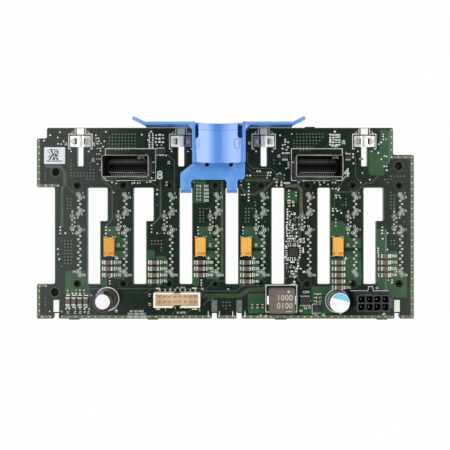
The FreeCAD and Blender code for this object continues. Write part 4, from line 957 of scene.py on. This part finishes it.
for x, y in ((-42.9, -15.2), (-6.7, -15.2), (11.2, -15.3), (47.5, -15.3), (-43.1, -35.9)):
    silkLine([(x - plus["reach"], y), (x + plus["reach"], y)])
    silkLine([(x, y - plus["reach"]), (x, y - plus["gap"])])
    silkLine([(x, y + plus["gap"]), (x, y + plus["reach"])])
for left, right, y in ((29.5, 33.3, -30.1), (29.5, 33.6, -33.8)):
    silkLine([(left, y), (right, y)], legend["fine"])
silkLine([(35.0, -33.4), (34.3, -33.4), (34.3, -37.2), (35.0, -37.2)], legend["fine"])
addMesh(silkMesh, "legendLines", "silk", "board")


digitShare = 0.72  # height of a digit in a font of size 1
digitLift = 0.02  # middle of a digit's thickness over the board


def addNumber(mesh, text, x, y, height, turn=0.0, z=None, thick=0.01, bold=0.0, flip=False):
    # plain number from the default font, made a mesh before its place is applied
    curve = bpy.data.curves.new("number", "FONT")
    curve.body = text
    curve.size = height / digitShare
    curve.align_x = "CENTER"
    curve.align_y = "CENTER"
    curve.extrude = thick
    curve.offset = bold
    curve.resolution_u = 2
    holder = linked("number", curve)
    data = evaluated(holder)
    place = Matrix.Translation((x, y, boardTop + digitLift if z is None else z))
    place = place @ Matrix.Rotation(math.radians(turn), 4, "Z")
    if flip:
        place = place @ Matrix.Rotation(math.pi, 4, "Y")
    data.transform(place)
    mesh.from_mesh(data)
    bpy.data.objects.remove(holder)
    bpy.data.curves.remove(curve)
    bpy.data.meshes.remove(data)


printed = {  # turn, height: text, x, y
    (0, 3.5): [("8", -25.9, 17.5)],
    (0, 3.4): [("4", 47.9, 18.5)],
    (90, 1.0): [
        ("21", -62.9, 30), ("24", -22.3, 22.6), ("25", 21.2, 25.2), ("27", 58.6, 30.5),
        ("31", 9.5, 30.3), ("32", 19, 30), ("13", -29.9, -29.8), ("12", -29.9, -33.4),
    ],
    (90, 1.1): [("22", -52, 29.8), ("23", -52.2, 23.6)],
    (90, 1.3): [("26", 46.7, 30.6)],
    (0, 0.9): [
        ("15", -21.8, -27.3), ("16", -9.2, -27.3), ("1", -23.6, -35.6), ("2", -10.2, -35.6),
        ("40", 62.6, -37.3), ("41", 45.6, -37), ("42", 59.9, -27), ("43", 33.3, -34.7),
        ("45", -49.8, -33.6), ("14", -26.6, -27.3), ("56", 31.6, -34.9), ("48", 38.7, -37.6),
    ],
    (90, 0.9): [
        ("71", -62.1, -36.6), ("72", -59.3, -36.6), ("73", -57.2, -36.6), ("74", -54, -36.6),
        ("46", 14, -38), ("47", 16.2, -38),
    ],
    (0, 0.8): [
        ("60 123 4567", -35, -36.1), ("0123 4567 8901", -35, -37.2),
        ("1234 5678 90123", -35, -38.3),
        ("111", 25.8, -33.5), ("17 1234", -17.8, -26.9), ("18 5678", -17.6, -36.7),
        ("57", 35.9, -37.7),
    ],
    (0, 1.0): [
        ("101", -7.6, 13.3), ("102", -7.6, 11.8), ("103", -7.6, 10.4), ("104", -7.6, 9),
        ("105", -7.6, 7.6), ("106", -10.6, 13.3), ("44", 29.8, -36), ("1234", 31.8, -28.6),
    ],
    (0, 0.6): [("81", 1.2, -27.4)],
}
numbers = [(text, x, y, height, turn)
           for (turn, height), texts in printed.items() for text, x, y in texts]
columnNumbers = [  # text, x from the drive column, y, height
    ("1", 2.3, 10.5, 0.9), ("2", 2.75, 8.9, 0.9), ("6", 2.75, 3.6, 0.9), ("7", 1.9, 2.0, 0.9),
    ("8", -1.9, 3.2, 0.9), ("9", 0.25, 0.75, 0.9), ("13", 0.45, -2.6, 0.9),
    ("14", -1.85, -4.1, 0.8),
    ("1", 2.8, -3.9, 0.9), ("2", -0.55, -5.2, 0.9), ("14", -1.3, -20.5, 0.9),
    ("15", 2.8, -21.9, 0.9),
]
numbers += [(text, x + away, y, height, 0) for x in columnX
            for text, away, y, height in columnNumbers]
tantalumY = middle("tantalum_capacitor_1").y + 0.6
numbers += [(str(50 + column), columnX[column - 1] - 1.9, tantalumY, 1.0, 90)
            for column in copper["columnsWithTantalum"]]
chipRows = {"counts": {2: 3, 3: 4, 4: 3, 5: 4, 7: 5, 8: 4}, "top": -16.81, "step": 2.5, "x": -5.7,
            "end": 1.6, "upright": {"count": 4, "x": -3.55, "step": 2.35, "y": -32.16}}
chipPlaces = []
for column, count in chipRows["counts"].items():
    top = chipRows["top"] + (chipRows["step"] if column == driveCount else 0)
    chipPlaces += [(columnX[column - 1], top - chipRows["step"] * row) for row in range(count)]
numbers += [(f"{number}0", x - 1.9, y, 1.1, 0) for number, (x, y) in enumerate(chipPlaces, 11)]
numberMesh = bmesh.new()
for text, x, y, height, turn in numbers:
    addNumber(numberMesh, text, x, y, height, turn, bold=0.028 * height)
addMesh(numberMesh, "legendNumbers", "silk", "board", outward=False)
print("legend printed")


padGroups = [  # x, y, length, depth and, of a group from its upper left, columns, rows, their steps
    (-30, 34.1, 0.55, 0.6, 2, 7, 1.3, 0.9), (-29.3, 34.9, 0.7, 0.7), (-30.5, 31.4, 0.6, 0.6),
    (-27.4, 33.5, 0.8, 0.7, 3, 3, 1.4, 1.4), (-27, 29.6, 0.5, 0.5, 2, 1, 1.8, 0),
    (-26.9, 28.1, 0.7, 0.6, 3, 1, 1.15, 0), (-25.7, 25.5, 0.7, 0.6, 3, 1, 1.2, 0),
    (-26.9, 27.2, 0.5, 0.65, 1, 2, 0, 1.2), (41.4, 33.6, 0.8, 0.6, 4, 5, 1.2, 1),
    (42.3, 29, 0.6, 0.5, 3, 1, 0.9, 0), (43.3, 34.9, 0.8, 0.7),
    (47.9, 26.1, 0.65, 0.55, 2, 2, 1.2, 2.3), (50.4, 25.9, 0.6, 0.65, 1, 2, 0, 1.3),
    (23.6, 31.7, 0.6, 0.6, 1, 3, 0, 0.95), (24.7, 30.7, 0.6, 0.6, 1, 2, 0, 1.9),
    (22.7, 29.5, 0.6, 0.6, 1, 2, 0, 1.3), (24.1, 27.6, 0.6, 0.6),
    (22.6, 26.3, 0.6, 0.6, 4, 1, 0.87, 0), (22.6, 23.7, 0.6, 0.6, 3, 1, 0.85, 0),
    (24.9, 22.7, 0.7, 0.6, 1, 3, 0, 1), (23.9, 20.2, 0.7, 0.6), (21.1, 17.4, 0.8, 0.9),
    (23.2, 17.7, 0.6, 0.5), (19.4, 16.1, 0.6, 0.7), (20.2, 14.8, 0.7, 0.75, 2, 2, 2, 1.2),
    (23, 16.3, 0.5, 0.9), (24.3, 14.5, 2.1, 0.6), (21.4, 18.5, 0.9, 0.4),
    (25.2, 7.7, 1.1, 0.55, 1, 3, 0, 1.1), (26.7, 6.9, 0.6, 1.3), (26.7, 5.6, 0.6, 0.6),
    (24.5, 4.1, 0.6, 0.6, 1, 6, 0, 0.98), (26.2, 2.4, 0.6, 0.6, 2, 1, 1.2, 0),
    (25.4, 1.4, 0.6, 0.6, 1, 2, 0, 1.5), (24.3, -2, 0.7, 0.6, 3, 7, 1.1, 1.1),
    (27.9, 0.9, 0.6, 0.6, 2, 1, 1, 0), (27.7, -1.9, 0.6, 0.6, 2, 1, 1.4, 0),
    (27.9, -3.7, 0.7, 0.6, 2, 1, 1.2, 0), (28.3, -5, 0.7, 0.6),
    (28.1, -6.4, 0.7, 0.6, 2, 1, 0.8, 0),
    (29.7, -7.6, 0.8, 0.8, 2, 2, 1.3, 1.2), (30.7, -11.9, 0.6, 2.1),
    (25, -10.2, 0.4, 0.8, 5, 1, 0.85, 0), (24.8, -15.1, 0.4, 0.8, 4, 1, 0.87, 0),
    (24.1, -11.3, 0.75, 0.4, 2, 4, 5.4, 0.87), (26.2, -16.7, 0.8, 0.6, 2, 1, 0.9, 0),
    (26, -18.8, 0.8, 0.6, 2, 1, 1.1, 0), (26.2, -20.4, 0.8, 0.6, 2, 1, 1.6, 0),
    (26.9, -21.3, 0.8, 0.6), (28.4, -19.3, 0.8, 0.6, 2, 1, 1.3, 0), (27.5, -22.4, 0.8, 0.6),
    (26.3, -25.5, 0.8, 0.6, 2, 1, 1.1, 0), (27.3, -24.5, 0.8, 0.6), (31, -20.6, 0.8, 0.6),
    (28.7, -16.4, 0.6, 0.6, 1, 3, 0, 0.9), (35.3, -29.3, 0.65, 0.45, 3, 3, 1.15, 1.4),
    (33.2, -30.8, 0.75, 0.4, 1, 2, 0, 1.3), (23.9, -10.5, 0.8, 0.8, 2, 2, 5.4, 4.3),
    (24.6, -9.5, 0.5, 0.5, 5, 1, 1, 0), (24.6, -15.9, 0.5, 0.5, 4, 1, 1, 0),
]
fineSpots = {"seed": 9, "areas": ((23.9, 29.0, -9.6, 3.4, 46), (23.9, 28.6, -23.6, -15.6, 26))}
padSpread = {"seed": 4, "shift": 0.1, "length": (0.85, 1.3), "depth": (0.8, 1.2), "height": 0.06}
padMesh, printMesh, dimMesh = bmesh.new(), bmesh.new(), bmesh.new()
dice = random.Random(padSpread["seed"])
smallPads = []
for x, y, length, depth, *grid in padGroups:
    columns, rows, stepX, stepY = grid or (1, 1, 0, 0)
    smallPads += [(x + stepX * i, y - stepY * j, length, depth)
                  for i in range(columns) for j in range(rows)]
crowded = {"x": (23.9, 29.2), "y": (-9.7, 3.6), "share": 0.72}  # beside the controller
for index, (x, y, length, depth) in enumerate(smallPads):
    x += dice.uniform(-padSpread["shift"], padSpread["shift"])
    y += dice.uniform(-padSpread["shift"], padSpread["shift"])
    length *= dice.uniform(*padSpread["length"])
    depth *= dice.uniform(*padSpread["depth"])
    target = printMesh if index % 4 == 1 else padMesh
    if crowded["x"][0] < x < crowded["x"][1] and crowded["y"][0] < y < crowded["y"][1]:
        length, depth = length * crowded["share"], depth * crowded["share"]
        target = dimMesh if index % 3 == 0 else target
    addBlock(target, x, y, length, depth, legendBase, boardTop + padSpread["height"])
addMesh(padMesh, "smallPads", "solder", "tin")
addMesh(printMesh, "smallMarks", "silk", "board")
addMesh(dimMesh, "maskedPads", "via", "board")
dice = random.Random(fineSpots["seed"])
fineVias = [(dice.uniform(left, right), dice.uniform(front, back), boardTop)
            for left, right, front, back, count in fineSpots["areas"] for _ in range(count)]
placeParts("fineVias", solderDot(0.2, 0.06, 8), fineVias, "solder", "tin", 0.25, 19, 60)
darkParts = [  # x, y, length, depth, height
    (-25.0, 27.1, 2.8, 1.8, 0.9), (23.6, 25.1, 2.6, 1.6, 0.9), (48.4, 25.1, 2.0, 1.3, 0.9),
    (21.9, 16.7, 2.2, 2.2, 0.9),
]
partMesh = bmesh.new()
for x, y, length, depth, height in darkParts:
    addBlock(partMesh, x, y, length, depth, legendBase, boardTop + height)
addMesh(partMesh, "smallPackages", "epoxy", "dark_ceramic")
print("small parts placed")


handle = softened("pull_handle", "pullHandle", "blue", "blue_plastic", 0.18, 50)
panelLines = {"frames": ((-11.0, 29.3, 1.8, 3.7), (4.4, 29.2, 1.8, 3.7)), "width": 0.22,
              "lift": 0.012}


def addDrapedLine(mesh, points, width, lift):
    # thin raised line that follows the handle's surface under each point
    rows = []
    count = len(points)
    for index, point in enumerate(points):
        here, after = Vector(point), Vector(points[(index + 1) % count])
        before = Vector(points[index - 1])
        across = (after - before).normalized().orthogonal() * width / 2
        row = []
        for spot in (here + across, here - across):
            found, place, _, _ = handle.ray_cast((spot.x * mm, spot.y * mm, 0.1), (0, 0, -1))
            z = place.z / mm if found else boardTop
            row += [(spot.x, spot.y, z + lift), (spot.x, spot.y, z - 0.02)]
        rows.append([mesh.verts.new(row[i]) for i in (0, 2, 3, 1)])
    for index in range(count):
        here, after = rows[index], rows[(index + 1) % count]
        for side in range(4):
            mesh.faces.new((here[side], after[side], after[(side + 1) % 4], here[(side + 1) % 4]))


# painted shade: the panel's recessed grooves are drawn as thin raised lines in a darker blue
grooveShadeMesh = bmesh.new()
for x, y, length, depth in panelLines["frames"]:
    corners = [(x - length / 2, y - depth / 2), (x + length / 2, y - depth / 2),
               (x + length / 2, y + depth / 2), (x - length / 2, y + depth / 2)]
    outline = rounded(corners, 0.5)
    dense = []
    for index, point in enumerate(outline):
        after = outline[(index + 1) % len(outline)]
        steps = max(1, round((Vector(after) - Vector(point)).length / 0.4))
        dense += [tuple(Vector(point).lerp(Vector(after), i / steps)) for i in range(steps)]
    addDrapedLine(grooveShadeMesh, dense, panelLines["width"], panelLines["lift"])
finishes["line"] = plasticFinish("panelGroovePaintedShade", (62, 112, 192), (70, 122, 200), 0.35)
addMesh(grooveShadeMesh, "handleLines", "line", "blue_plastic")

shellFeet = 0.8  # height above the board
for letter in ("a", "b"):
    node = f"cable_socket_shell_{letter}"
    shell = softened(node, f"cableShell{letter.upper()}", "shell", "shell_metal", 0.04)
    shell.data.materials.append(finishes["shell side shade"].material)
    shell.data.materials.append(finishes["metal shade"].material)
    centre = middle(node) * mm
    # painted shade: walls facing the socket's middle take the near-black shade, and outer walls and
    # low faces by the feet a darker grey
    for face in shell.data.polygons:
        if abs(face.normal.z) < 0.5:
            inward = (centre - face.center).to_2d().dot(face.normal.to_2d()) > 0
            face.material_index = 2 if inward else 1
        elif face.center.z < (boardTop + shellFeet) * mm:
            face.material_index = 1
# the power pins take the near-black painted shade
softened("power_socket_pins", "powerPins", "pin shade", "tin", 0.3, 30, 1)
softened("signal_header", "signalHeader", "cream", "cream_plastic", 0.08)
low, high = edges("power_socket_pins")
tipMesh = bmesh.new()
for x, y in powerSpots:
    addTurned(tipMesh, x, y, [(0, high.z - 0.1), (0.24, high.z - 0.1), (0.22, high.z + 0.02),
                              (0, high.z + 0.05)], 8)
addMesh(tipMesh, "powerPinTips", "chip solder", "tin", smooth=40)
softened("power_socket", "powerSocket", "grey plastic", "grey_plastic", 0.1)


cans = {"steps": 64, "crimp": 0.35}


def canProfile(radius, low, high):
    return [(0, low), (radius - 0.15, low), (radius, low + 0.15), (radius, low + 0.9),
            (radius - cans["crimp"] * 0.6, low + 1.15), (radius - cans["crimp"], low + 1.3),
            (radius - cans["crimp"] * 0.6, low + 1.45), (radius, low + 1.7), (radius, high - 0.55),
            (radius - 0.08, high - 0.3), (radius - 0.25, high - 0.1), (radius - 0.55, high - 0.02),
            (radius - 0.75, high), (0, high)]


def sleeveFinish(centre):
    # shrunk film with one printed pale stripe down its side
    made = Finish("shrunkSleeve", (44, 30, 34), 0.3, coat=0.3)
    x = made.offset("X", centre.x)
    y = made.offset("Y", centre.y)
    stripe = {"turn": 1.9, "half": 0.42, "bars": 26.0, "gap": -0.35}
    turn = made.math("ARCTAN2", y, x)
    away = made.math("ABSOLUTE", made.math("SUBTRACT", turn, stripe["turn"]))
    bars = made.math("GREATER_THAN", made.math("SINE", made.both(turn, stripe["bars"])),
                     stripe["gap"])
    printed = made.both(made.math("LESS_THAN", away, stripe["half"]), bars)
    film = made.ramp(made.noise(0.8, 3.0), (34, 17, 20), (54, 28, 32))
    made.color(made.mix(printed, film, (150, 146, 178)))
    return made.rough(0.7, 0.24, 0.4).bump(made.noise(0.5, 2.0), 0.012)


low, high = edges("electrolytic_can")
centre = middle("electrolytic_can")
radius = (high.x - low.x) / 2
canMesh = bmesh.new()
addTurned(canMesh, centre.x, centre.y, canProfile(radius, low.z, high.z), cans["steps"])
addMesh(canMesh, "electrolyticCan", "can", "aluminium", "electrolytic_can", smooth=40)
finishes["sleeve"] = sleeveFinish(centre)
sleeveLow, sleeveHigh = edges("electrolytic_sleeve")
outer, top, base = (sleeveHigh.x - sleeveLow.x) / 2, sleeveHigh.z, sleeveLow.z
sleeveRim = radius - 1.0
profile = [(radius + 0.02, base), (outer - 0.03, base), (outer, base + 0.1), (outer, base + 0.85),
           (outer - 0.2, base + 1.1), (outer - 0.3, base + 1.3), (outer - 0.2, base + 1.5),
           (outer, base + 1.75), (outer, top - 0.6), (outer - 0.1, top - 0.3),
           (outer - 0.3, top - 0.08),
           (outer - 0.6, top), (sleeveRim, top), (sleeveRim - 0.04, top - 0.06),
           (sleeveRim, top - 0.11),
           (radius - 0.5, top - 0.115), (radius - 0.18, top - 0.3), (radius + 0.02, top - 0.6)]
sleeveMesh = bmesh.new()
addTurned(sleeveMesh, centre.x, centre.y, profile, cans["steps"], True)
addMesh(sleeveMesh, "electrolyticSleeve", "sleeve", "sleeve", "electrolytic_sleeve", smooth=40)


def polymerFinish(centre):
    # bare can whose top carries one printed segment; its upright sides are painted dark grey as
    # shade
    made = Finish("printedAluminium", (250, 251, 251), 0.36, 0.1)
    bright = made.ramp(made.noise(0.9, 3.0), (249, 250, 250), (255, 255, 255))
    upright = made.math("LESS_THAN", made.facing("Z"), 0.3)
    metalWithSideShade = made.mix(upright, bright, (104, 106, 102))
    x = made.offset("X", centre.x)
    y = made.offset("Y", centre.y)
    segment = {"slope": -0.25, "start": 1.25}
    line = made.math("SUBTRACT", y, made.both(x, segment["slope"]))
    above = made.math("GREATER_THAN", line, segment["start"])
    flatTop = made.math("GREATER_THAN", made.facing("Z"), 0.9)
    made.color(made.mix(made.both(above, flatTop), metalWithSideShade, (128, 210, 232)))
    return made.rough(0.6, 0.26, 0.38).bump(made.noise(0.12, 2.0, (1, 1, 0.1)), 0.004)


low, high = edges("polymer_can")
centre = middle("polymer_can")
finishes["polymer"] = polymerFinish(centre)
canMesh = bmesh.new()
addTurned(canMesh, centre.x, centre.y, canProfile((high.x - low.x) / 2, low.z, high.z),
          cans["steps"])
addMesh(canMesh, "polymerCan", "polymer", "aluminium", "polymer_can", smooth=40)
print("capacitors made")


clips = {"slope": 0.03, "domeLength": 1.9, "domeDepth": 1.25, "flat": 1.9, "flange": 0.3,
         "rib": 0.95,
         "lowered": 0.7, "feet": 0.12, "slit": (0.42, 2.4), "slitInset": 0.22}
domeProfile = [(1.0, 0.0), (0.97, 0.2), (0.85, 0.36), (0.6, 0.46), (0.3, 0.5), (0.0, 0.51)]


def addHalfDome(mesh, x, y, z, side, steps=12):
    # half of a low dome; its flat side faces the clip's middle
    rows = []
    for share, height in domeProfile:
        if share == 0:
            rows.append([mesh.verts.new((x, y, z + height))] * (steps + 1))
            continue
        turns = [math.pi * (i / steps - 0.5) for i in range(steps + 1)]
        rows.append([mesh.verts.new((x + side * clips["domeLength"] * share * math.cos(turn),
                                     y + clips["domeDepth"] * share * math.sin(turn), z + height))
                     for turn in turns])
    for low, high in zip(rows, rows[1:]):
        for i in range(steps):
            corners = list(dict.fromkeys([low[i], low[i + 1], high[i + 1], high[i]]))
            mesh.faces.new(corners)
    mesh.faces.new(rows[0])
    mesh.faces.new([row[0] for row in rows] + [row[-1] for row in rows[-2::-1]])


domeMesh, slitMesh = bmesh.new(), bmesh.new()
for number in range(1, 5):
    node = f"grounding_clip_{number}"
    clip = softened(node, f"groundingClip{number}", "tin", "tin", 0.05, 30, 1)
    clip.data.materials.append(finishes["tin painted shade"].material)
    clip.data.materials.append(finishes["tin painted highlight"].material)
    centre = middle(node)
    base = edges(node)[0].z + clips["flange"]
    for vertex in clip.data.vertices:
        away = abs(vertex.co.x / mm - centre.x)
        if away > clips["flat"] - 0.1 and vertex.co.z > (base + 0.1) * mm:
            vertex.co.z = (base + (vertex.co.z / mm - base) * clips["lowered"]) * mm
        if vertex.co.z > (boardTop + clips["feet"]) * mm:
            vertex.co.z -= away * clips["slope"] * mm
    # painted shade on the inner half of each clip beside the grip, and painted highlight on its
    # outer half
    inner = {2: 1, 3: -1}.get(number, 0)
    for face in clip.data.polygons:
        away = (face.center.x / mm - centre.x) * inner
        if abs(away) > clips["rib"] or away < 0:
            face.material_index = 1 if away > 0 else 2
    for side in (-1, 1):
        x = centre.x + side * clips["flat"]
        addHalfDome(domeMesh, x, centre.y, base - clips["flat"] * clips["slope"] - 0.06, side)
        slitX = x - side * clips["slitInset"]
        addBlock(slitMesh, slitX, centre.y, *clips["slit"], base - 0.3, base - 0.05)
# the domes take the grey painted shade
addMesh(domeMesh, "clipDomes", "dome shade", "tin", smooth=60)
# the slits beside the domes are dark blocks of painted shade
addMesh(slitMesh, "clipSlits", "hole", "board")
print("clips made")


softened("inductor_core", "inductorBlock", "inductor", "ferrite", 0.25, 50, 3)
low, high = edges("inductor_core")
centre = middle("inductor_core")
markMesh = bmesh.new()
for text, y in (("1000", centre.y + 1.2), ("0100", centre.y - 1.9)):
    addNumber(markMesh, text, centre.x + 1.0, y, 2.3, 0, high.z + 0.004, 0.008, 0.04)
x, markLow, markHigh = centre.x + 2.6, high.z - 0.01, high.z + 0.012
addRing(markMesh, x, centre.y + 3.6, 0.55, 0.05, markLow, markHigh, 18)
addBlock(markMesh, x, centre.y - 4.1, 2.3, 0.35, markLow, markHigh)
finishes["mark"] = Finish("inductorPrint", (192, 182, 178), 0.6)
finishes["mark"].mottle((176, 166, 162), (204, 196, 192), 0.4)
addMesh(markMesh, "inductorMarks", "mark", "ferrite", outward=False)
print("inductor made")


chipEnds, end = [], chipRows["end"]
for x, y in chipPlaces:
    x += chipRows["x"]
    chipEnds += [(x - end, y, boardTop, 0), (x + end, y, boardTop, 180)]
upright = chipRows["upright"]
for index in range(upright["count"]):
    x, y = columnX[0] + upright["x"] + upright["step"] * index, upright["y"]
    chipEnds += [(x, y - end, boardTop, 90), (x, y + end, boardTop, -90)]
halfDepth = 0.75
padSection = [(-0.98, 0.0), (-0.98, 0.05), (-0.9, 0.09), (-0.46, 0.1), (-0.42, 0.0)]
slopeSection = [(-0.44, 0.0), (-0.44, 0.09), (-0.25, 0.17), (-0.1, 0.36), (0.0, 0.7), (0.0, 0.0)]
for name, section, finish, spread in (("chipPads", padSection, "chip solder", 0.04),
                                      ("chipSlopes", slopeSection, "metal shade", 0.0)):
    # a run beside a chip's end, towards +X: a flat pad of solder, and a slope coloured dark as
    # painted shade
    mesh = bmesh.new()
    near = [mesh.verts.new((x, -halfDepth, z)) for x, z in section]
    far = [mesh.verts.new((x, halfDepth, z)) for x, z in section]
    mesh.faces.new(near)
    mesh.faces.new(far[::-1])
    for index in range(len(section)):
        after = (index + 1) % len(section)
        mesh.faces.new((near[index], far[index], far[after], near[after]))
    run = finishMesh(mesh, "chipSolder", finish)
    placeParts(name, run, chipEnds, finish, "tin", spread, 17, 50)
print("chip solder made")


pegs = {"rim": 1.74, "rimWidth": 0.2, "mountRim": 2.05, "mountRimWidth": 0.24}
pegMesh, rimMesh, dotMesh = bmesh.new(), bmesh.new(), bmesh.new()
rimTop, top = boardTop + 0.035, boardTop + 0.03
capProfile = [(0, -0.4), (1.44, -0.4), (1.44, -0.12), (1.36, -0.04), (1.0, -0.04), (0.95, 0),
              (0.82, 0),
              (0.75, -0.12), (0, -0.12)]
dimpleProfile = [(0, -0.13), (0.6, -0.13), (0.55, -0.08), (0, -0.08)]
for x, y in pegSpots:
    addTurned(pegMesh, x, y, [(radius, top + z) for radius, z in capProfile], 28)
    addTurned(dotMesh, x, y, [(radius, top + z) for radius, z in dimpleProfile], 18)
    addRing(rimMesh, x, y, pegs["rim"], pegs["rim"] - pegs["rimWidth"], legendBase, rimTop, 32)
for number in range(1, 4):
    if f"spacer_{number}" in cadNodes:
        centre = middle(f"spacer_{number}")
        addRing(rimMesh, centre.x, centre.y, pegs["mountRim"],
                pegs["mountRim"] - pegs["mountRimWidth"],
                legendBase, rimTop, 32)
addMesh(pegMesh, "pegCaps", "peg", "black_plastic", smooth=40)
# the peg dimples are discs of near-black painted shade
addMesh(dotMesh, "pegDimples", "core", "black_plastic")
addMesh(rimMesh, "holeRims", "grey", "board")


labelPrint = {"cells": 10, "cell": 0.42, "seed": 6, "dashes": 9, "share": 0.52}
low, high = edges("label")
dice = random.Random(labelPrint["seed"])
inkMesh = bmesh.new()
size, inkLow, inkHigh = labelPrint["cell"], high.z - 0.005, high.z + 0.01
left, top = low.x + 1.45, high.y - 0.75
for row in range(labelPrint["cells"]):
    for index in range(labelPrint["cells"]):
        if dice.random() < labelPrint["share"]:
            x, y = left + size * (index + 0.5), top - size * (row + 0.5)
            addBlock(inkMesh, x, y, size * 0.98, size * 0.98, inkLow, inkHigh)
x = low.x + 0.8
for index in range(labelPrint["dashes"]):
    length = dice.uniform(0.35, 0.6)
    addBlock(inkMesh, x + length / 2, low.y + 1.15, length, 0.55 if index % 2 else 0.4, inkLow,
             inkHigh)
    x += length + 0.25
addMesh(inkMesh, "labelPrint", "ink", "paper")
print("label printed")


underTails = {"radius": 0.75, "height": 0.8, "leadGap": 1.75}
underSpots = powerSpots + pinGrid("signal_header_pins", 8, 2, 2.0)
for node in ("electrolytic_can", "polymer_can"):
    centre = middle(node)
    underSpots += [(centre.x + side * underTails["leadGap"], centre.y) for side in (-1, 1)]
radius, drop = underTails["radius"], underTails["height"]
cone = turnedPart("underTail", "solder", [
    (0, sunk), (radius, sunk), (radius * 0.85, -drop * 0.15), (radius * 0.5, -drop * 0.5),
    (radius * 0.32, -drop * 0.9), (radius * 0.24, -drop), (0, -drop)], 14)
underTop = [(x, y, boardUnder) for x, y in underSpots]
placeParts("underTails", cone, underTop, "solder", "tin", 0.05, 23, 60)
underVias = [(x, y, boardUnder) for x, y in fieldPlaces + bareDots]
placeParts("underVias", viaRing("underVia", -1), underVias, "via", "board", 0.06, 29)
underMesh = bmesh.new()
for index, x in enumerate(columnX):
    z = boardUnder - digitLift
    addNumber(underMesh, str(index + 1), x - 4.6, 17.6, 2.4, 0, z, 0.012, 0.05, flip=True)
addMesh(underMesh, "undersideNumbers", "silk", "board", outward=False)
for number in range(1, driveCount + 1):
    softened(f"drive_socket_{number}", f"driveSocket{number}", "black", "black_plastic", 0.08, 35,
             1)
print("underside made")


floorMesh = bpy.data.meshes.new("floor")
floorHalf, floorDrop = 3, 0.0002  # metres
corners = [(x * floorHalf, y * floorHalf, 0) for x, y in ((-1, -1), (1, -1), (1, 1), (-1, 1))]
floorMesh.from_pydata(corners, [], [(0, 1, 2, 3)])
floor = linked("floor", floorMesh)
floor.location.z = -floorDrop
paleFloor = bpy.data.materials.new("paleFloor")
paleFloor.use_nodes = True
tree = paleFloor.node_tree
tree.nodes.clear()
output, blend, matt, glow, seen, first, second, share = map(tree.nodes.new, (
    "ShaderNodeOutputMaterial", "ShaderNodeMixShader", "ShaderNodeBsdfDiffuse",
    "ShaderNodeEmission",
    "ShaderNodeLightPath", "ShaderNodeMath", "ShaderNodeMath", "ShaderNodeMath",
))
matt.inputs["Color"].default_value = (0.8, 0.8, 0.8, 1)
first.operation = second.operation = "MAXIMUM"
share.operation = "MULTIPLY"
share.inputs[1].default_value = 0.98
joined(
    tree,
    (seen.outputs["Is Camera Ray"], first.inputs[0]),
    (seen.outputs["Is Glossy Ray"], first.inputs[1]),
    (first.outputs[0], second.inputs[0]),
    (seen.outputs["Is Transmission Ray"], second.inputs[1]),
    (second.outputs[0], share.inputs[0]),
    (share.outputs[0], blend.inputs[0]),
    (matt.outputs[0], blend.inputs[1]),
    (glow.outputs[0], blend.inputs[2]),
    (blend.outputs[0], output.inputs["Surface"]),
)
floorMesh.materials.append(paleFloor)

world = bpy.data.worlds.new("studio")
bpy.context.scene.world = world
world.use_nodes = True
sky = world.node_tree
ambient, backdrop = sky.nodes["Background"], sky.nodes.new("ShaderNodeBackground")
ambient.inputs["Color"].default_value = (0.9, 0.95, 1.1, 1)
ambient.inputs["Strength"].default_value = 0.12
backdrop.inputs["Color"].default_value = (0.98, 0.98, 0.98, 1)
split, path = sky.nodes.new("ShaderNodeMixShader"), sky.nodes.new("ShaderNodeLightPath")
joined(sky, (path.outputs["Is Camera Ray"], split.inputs[0]), (ambient.outputs[0], split.inputs[1]),
       (backdrop.outputs[0], split.inputs[2]),
       (split.outputs[0], sky.nodes["World Output"].inputs["Surface"]))

lamps = {  # place, size, watts, lean in degrees
    "leftPanel": ((-0.673, 0.0, 0.528), (0.7, 1.3), 5.9, 38),
    "leftStrip": ((-0.295, 0.0, 0.836), (0.27, 1.3), 1.22, 38),
    "rightPanel": ((0.703, 0.0, 0.528), (0.7, 1.3), 6.8, -38),
    "rightStrip": ((0.36, 0.0, 0.82), (0.25, 1.3), 1.0, -38),
}
for name, (place, size, watts, lean) in lamps.items():
    data = bpy.data.lights.new(name, "AREA")
    data.shape = "RECTANGLE"
    data.size, data.size_y = size
    data.energy = watts
    lamp = linked(name, data)
    lamp.location = place
    lamp.rotation_euler = (0, math.radians(-lean), 0)

view = {"x": -0.15, "y": -2.06, "height": 299.5, "lens": 58.53, "sensor": 36.0}
camera = linked("camera", bpy.data.cameras.new("camera"))
camera.data.lens = view["lens"]
camera.data.sensor_width = view["sensor"]
camera.location = (view["x"] * mm, view["y"] * mm, view["height"] * mm)
camera.data.clip_start = 0.01
camera.data.clip_end = 10
bpy.context.scene.camera = camera
bpy.context.scene.view_settings.view_transform = "Standard"
print("stage set")
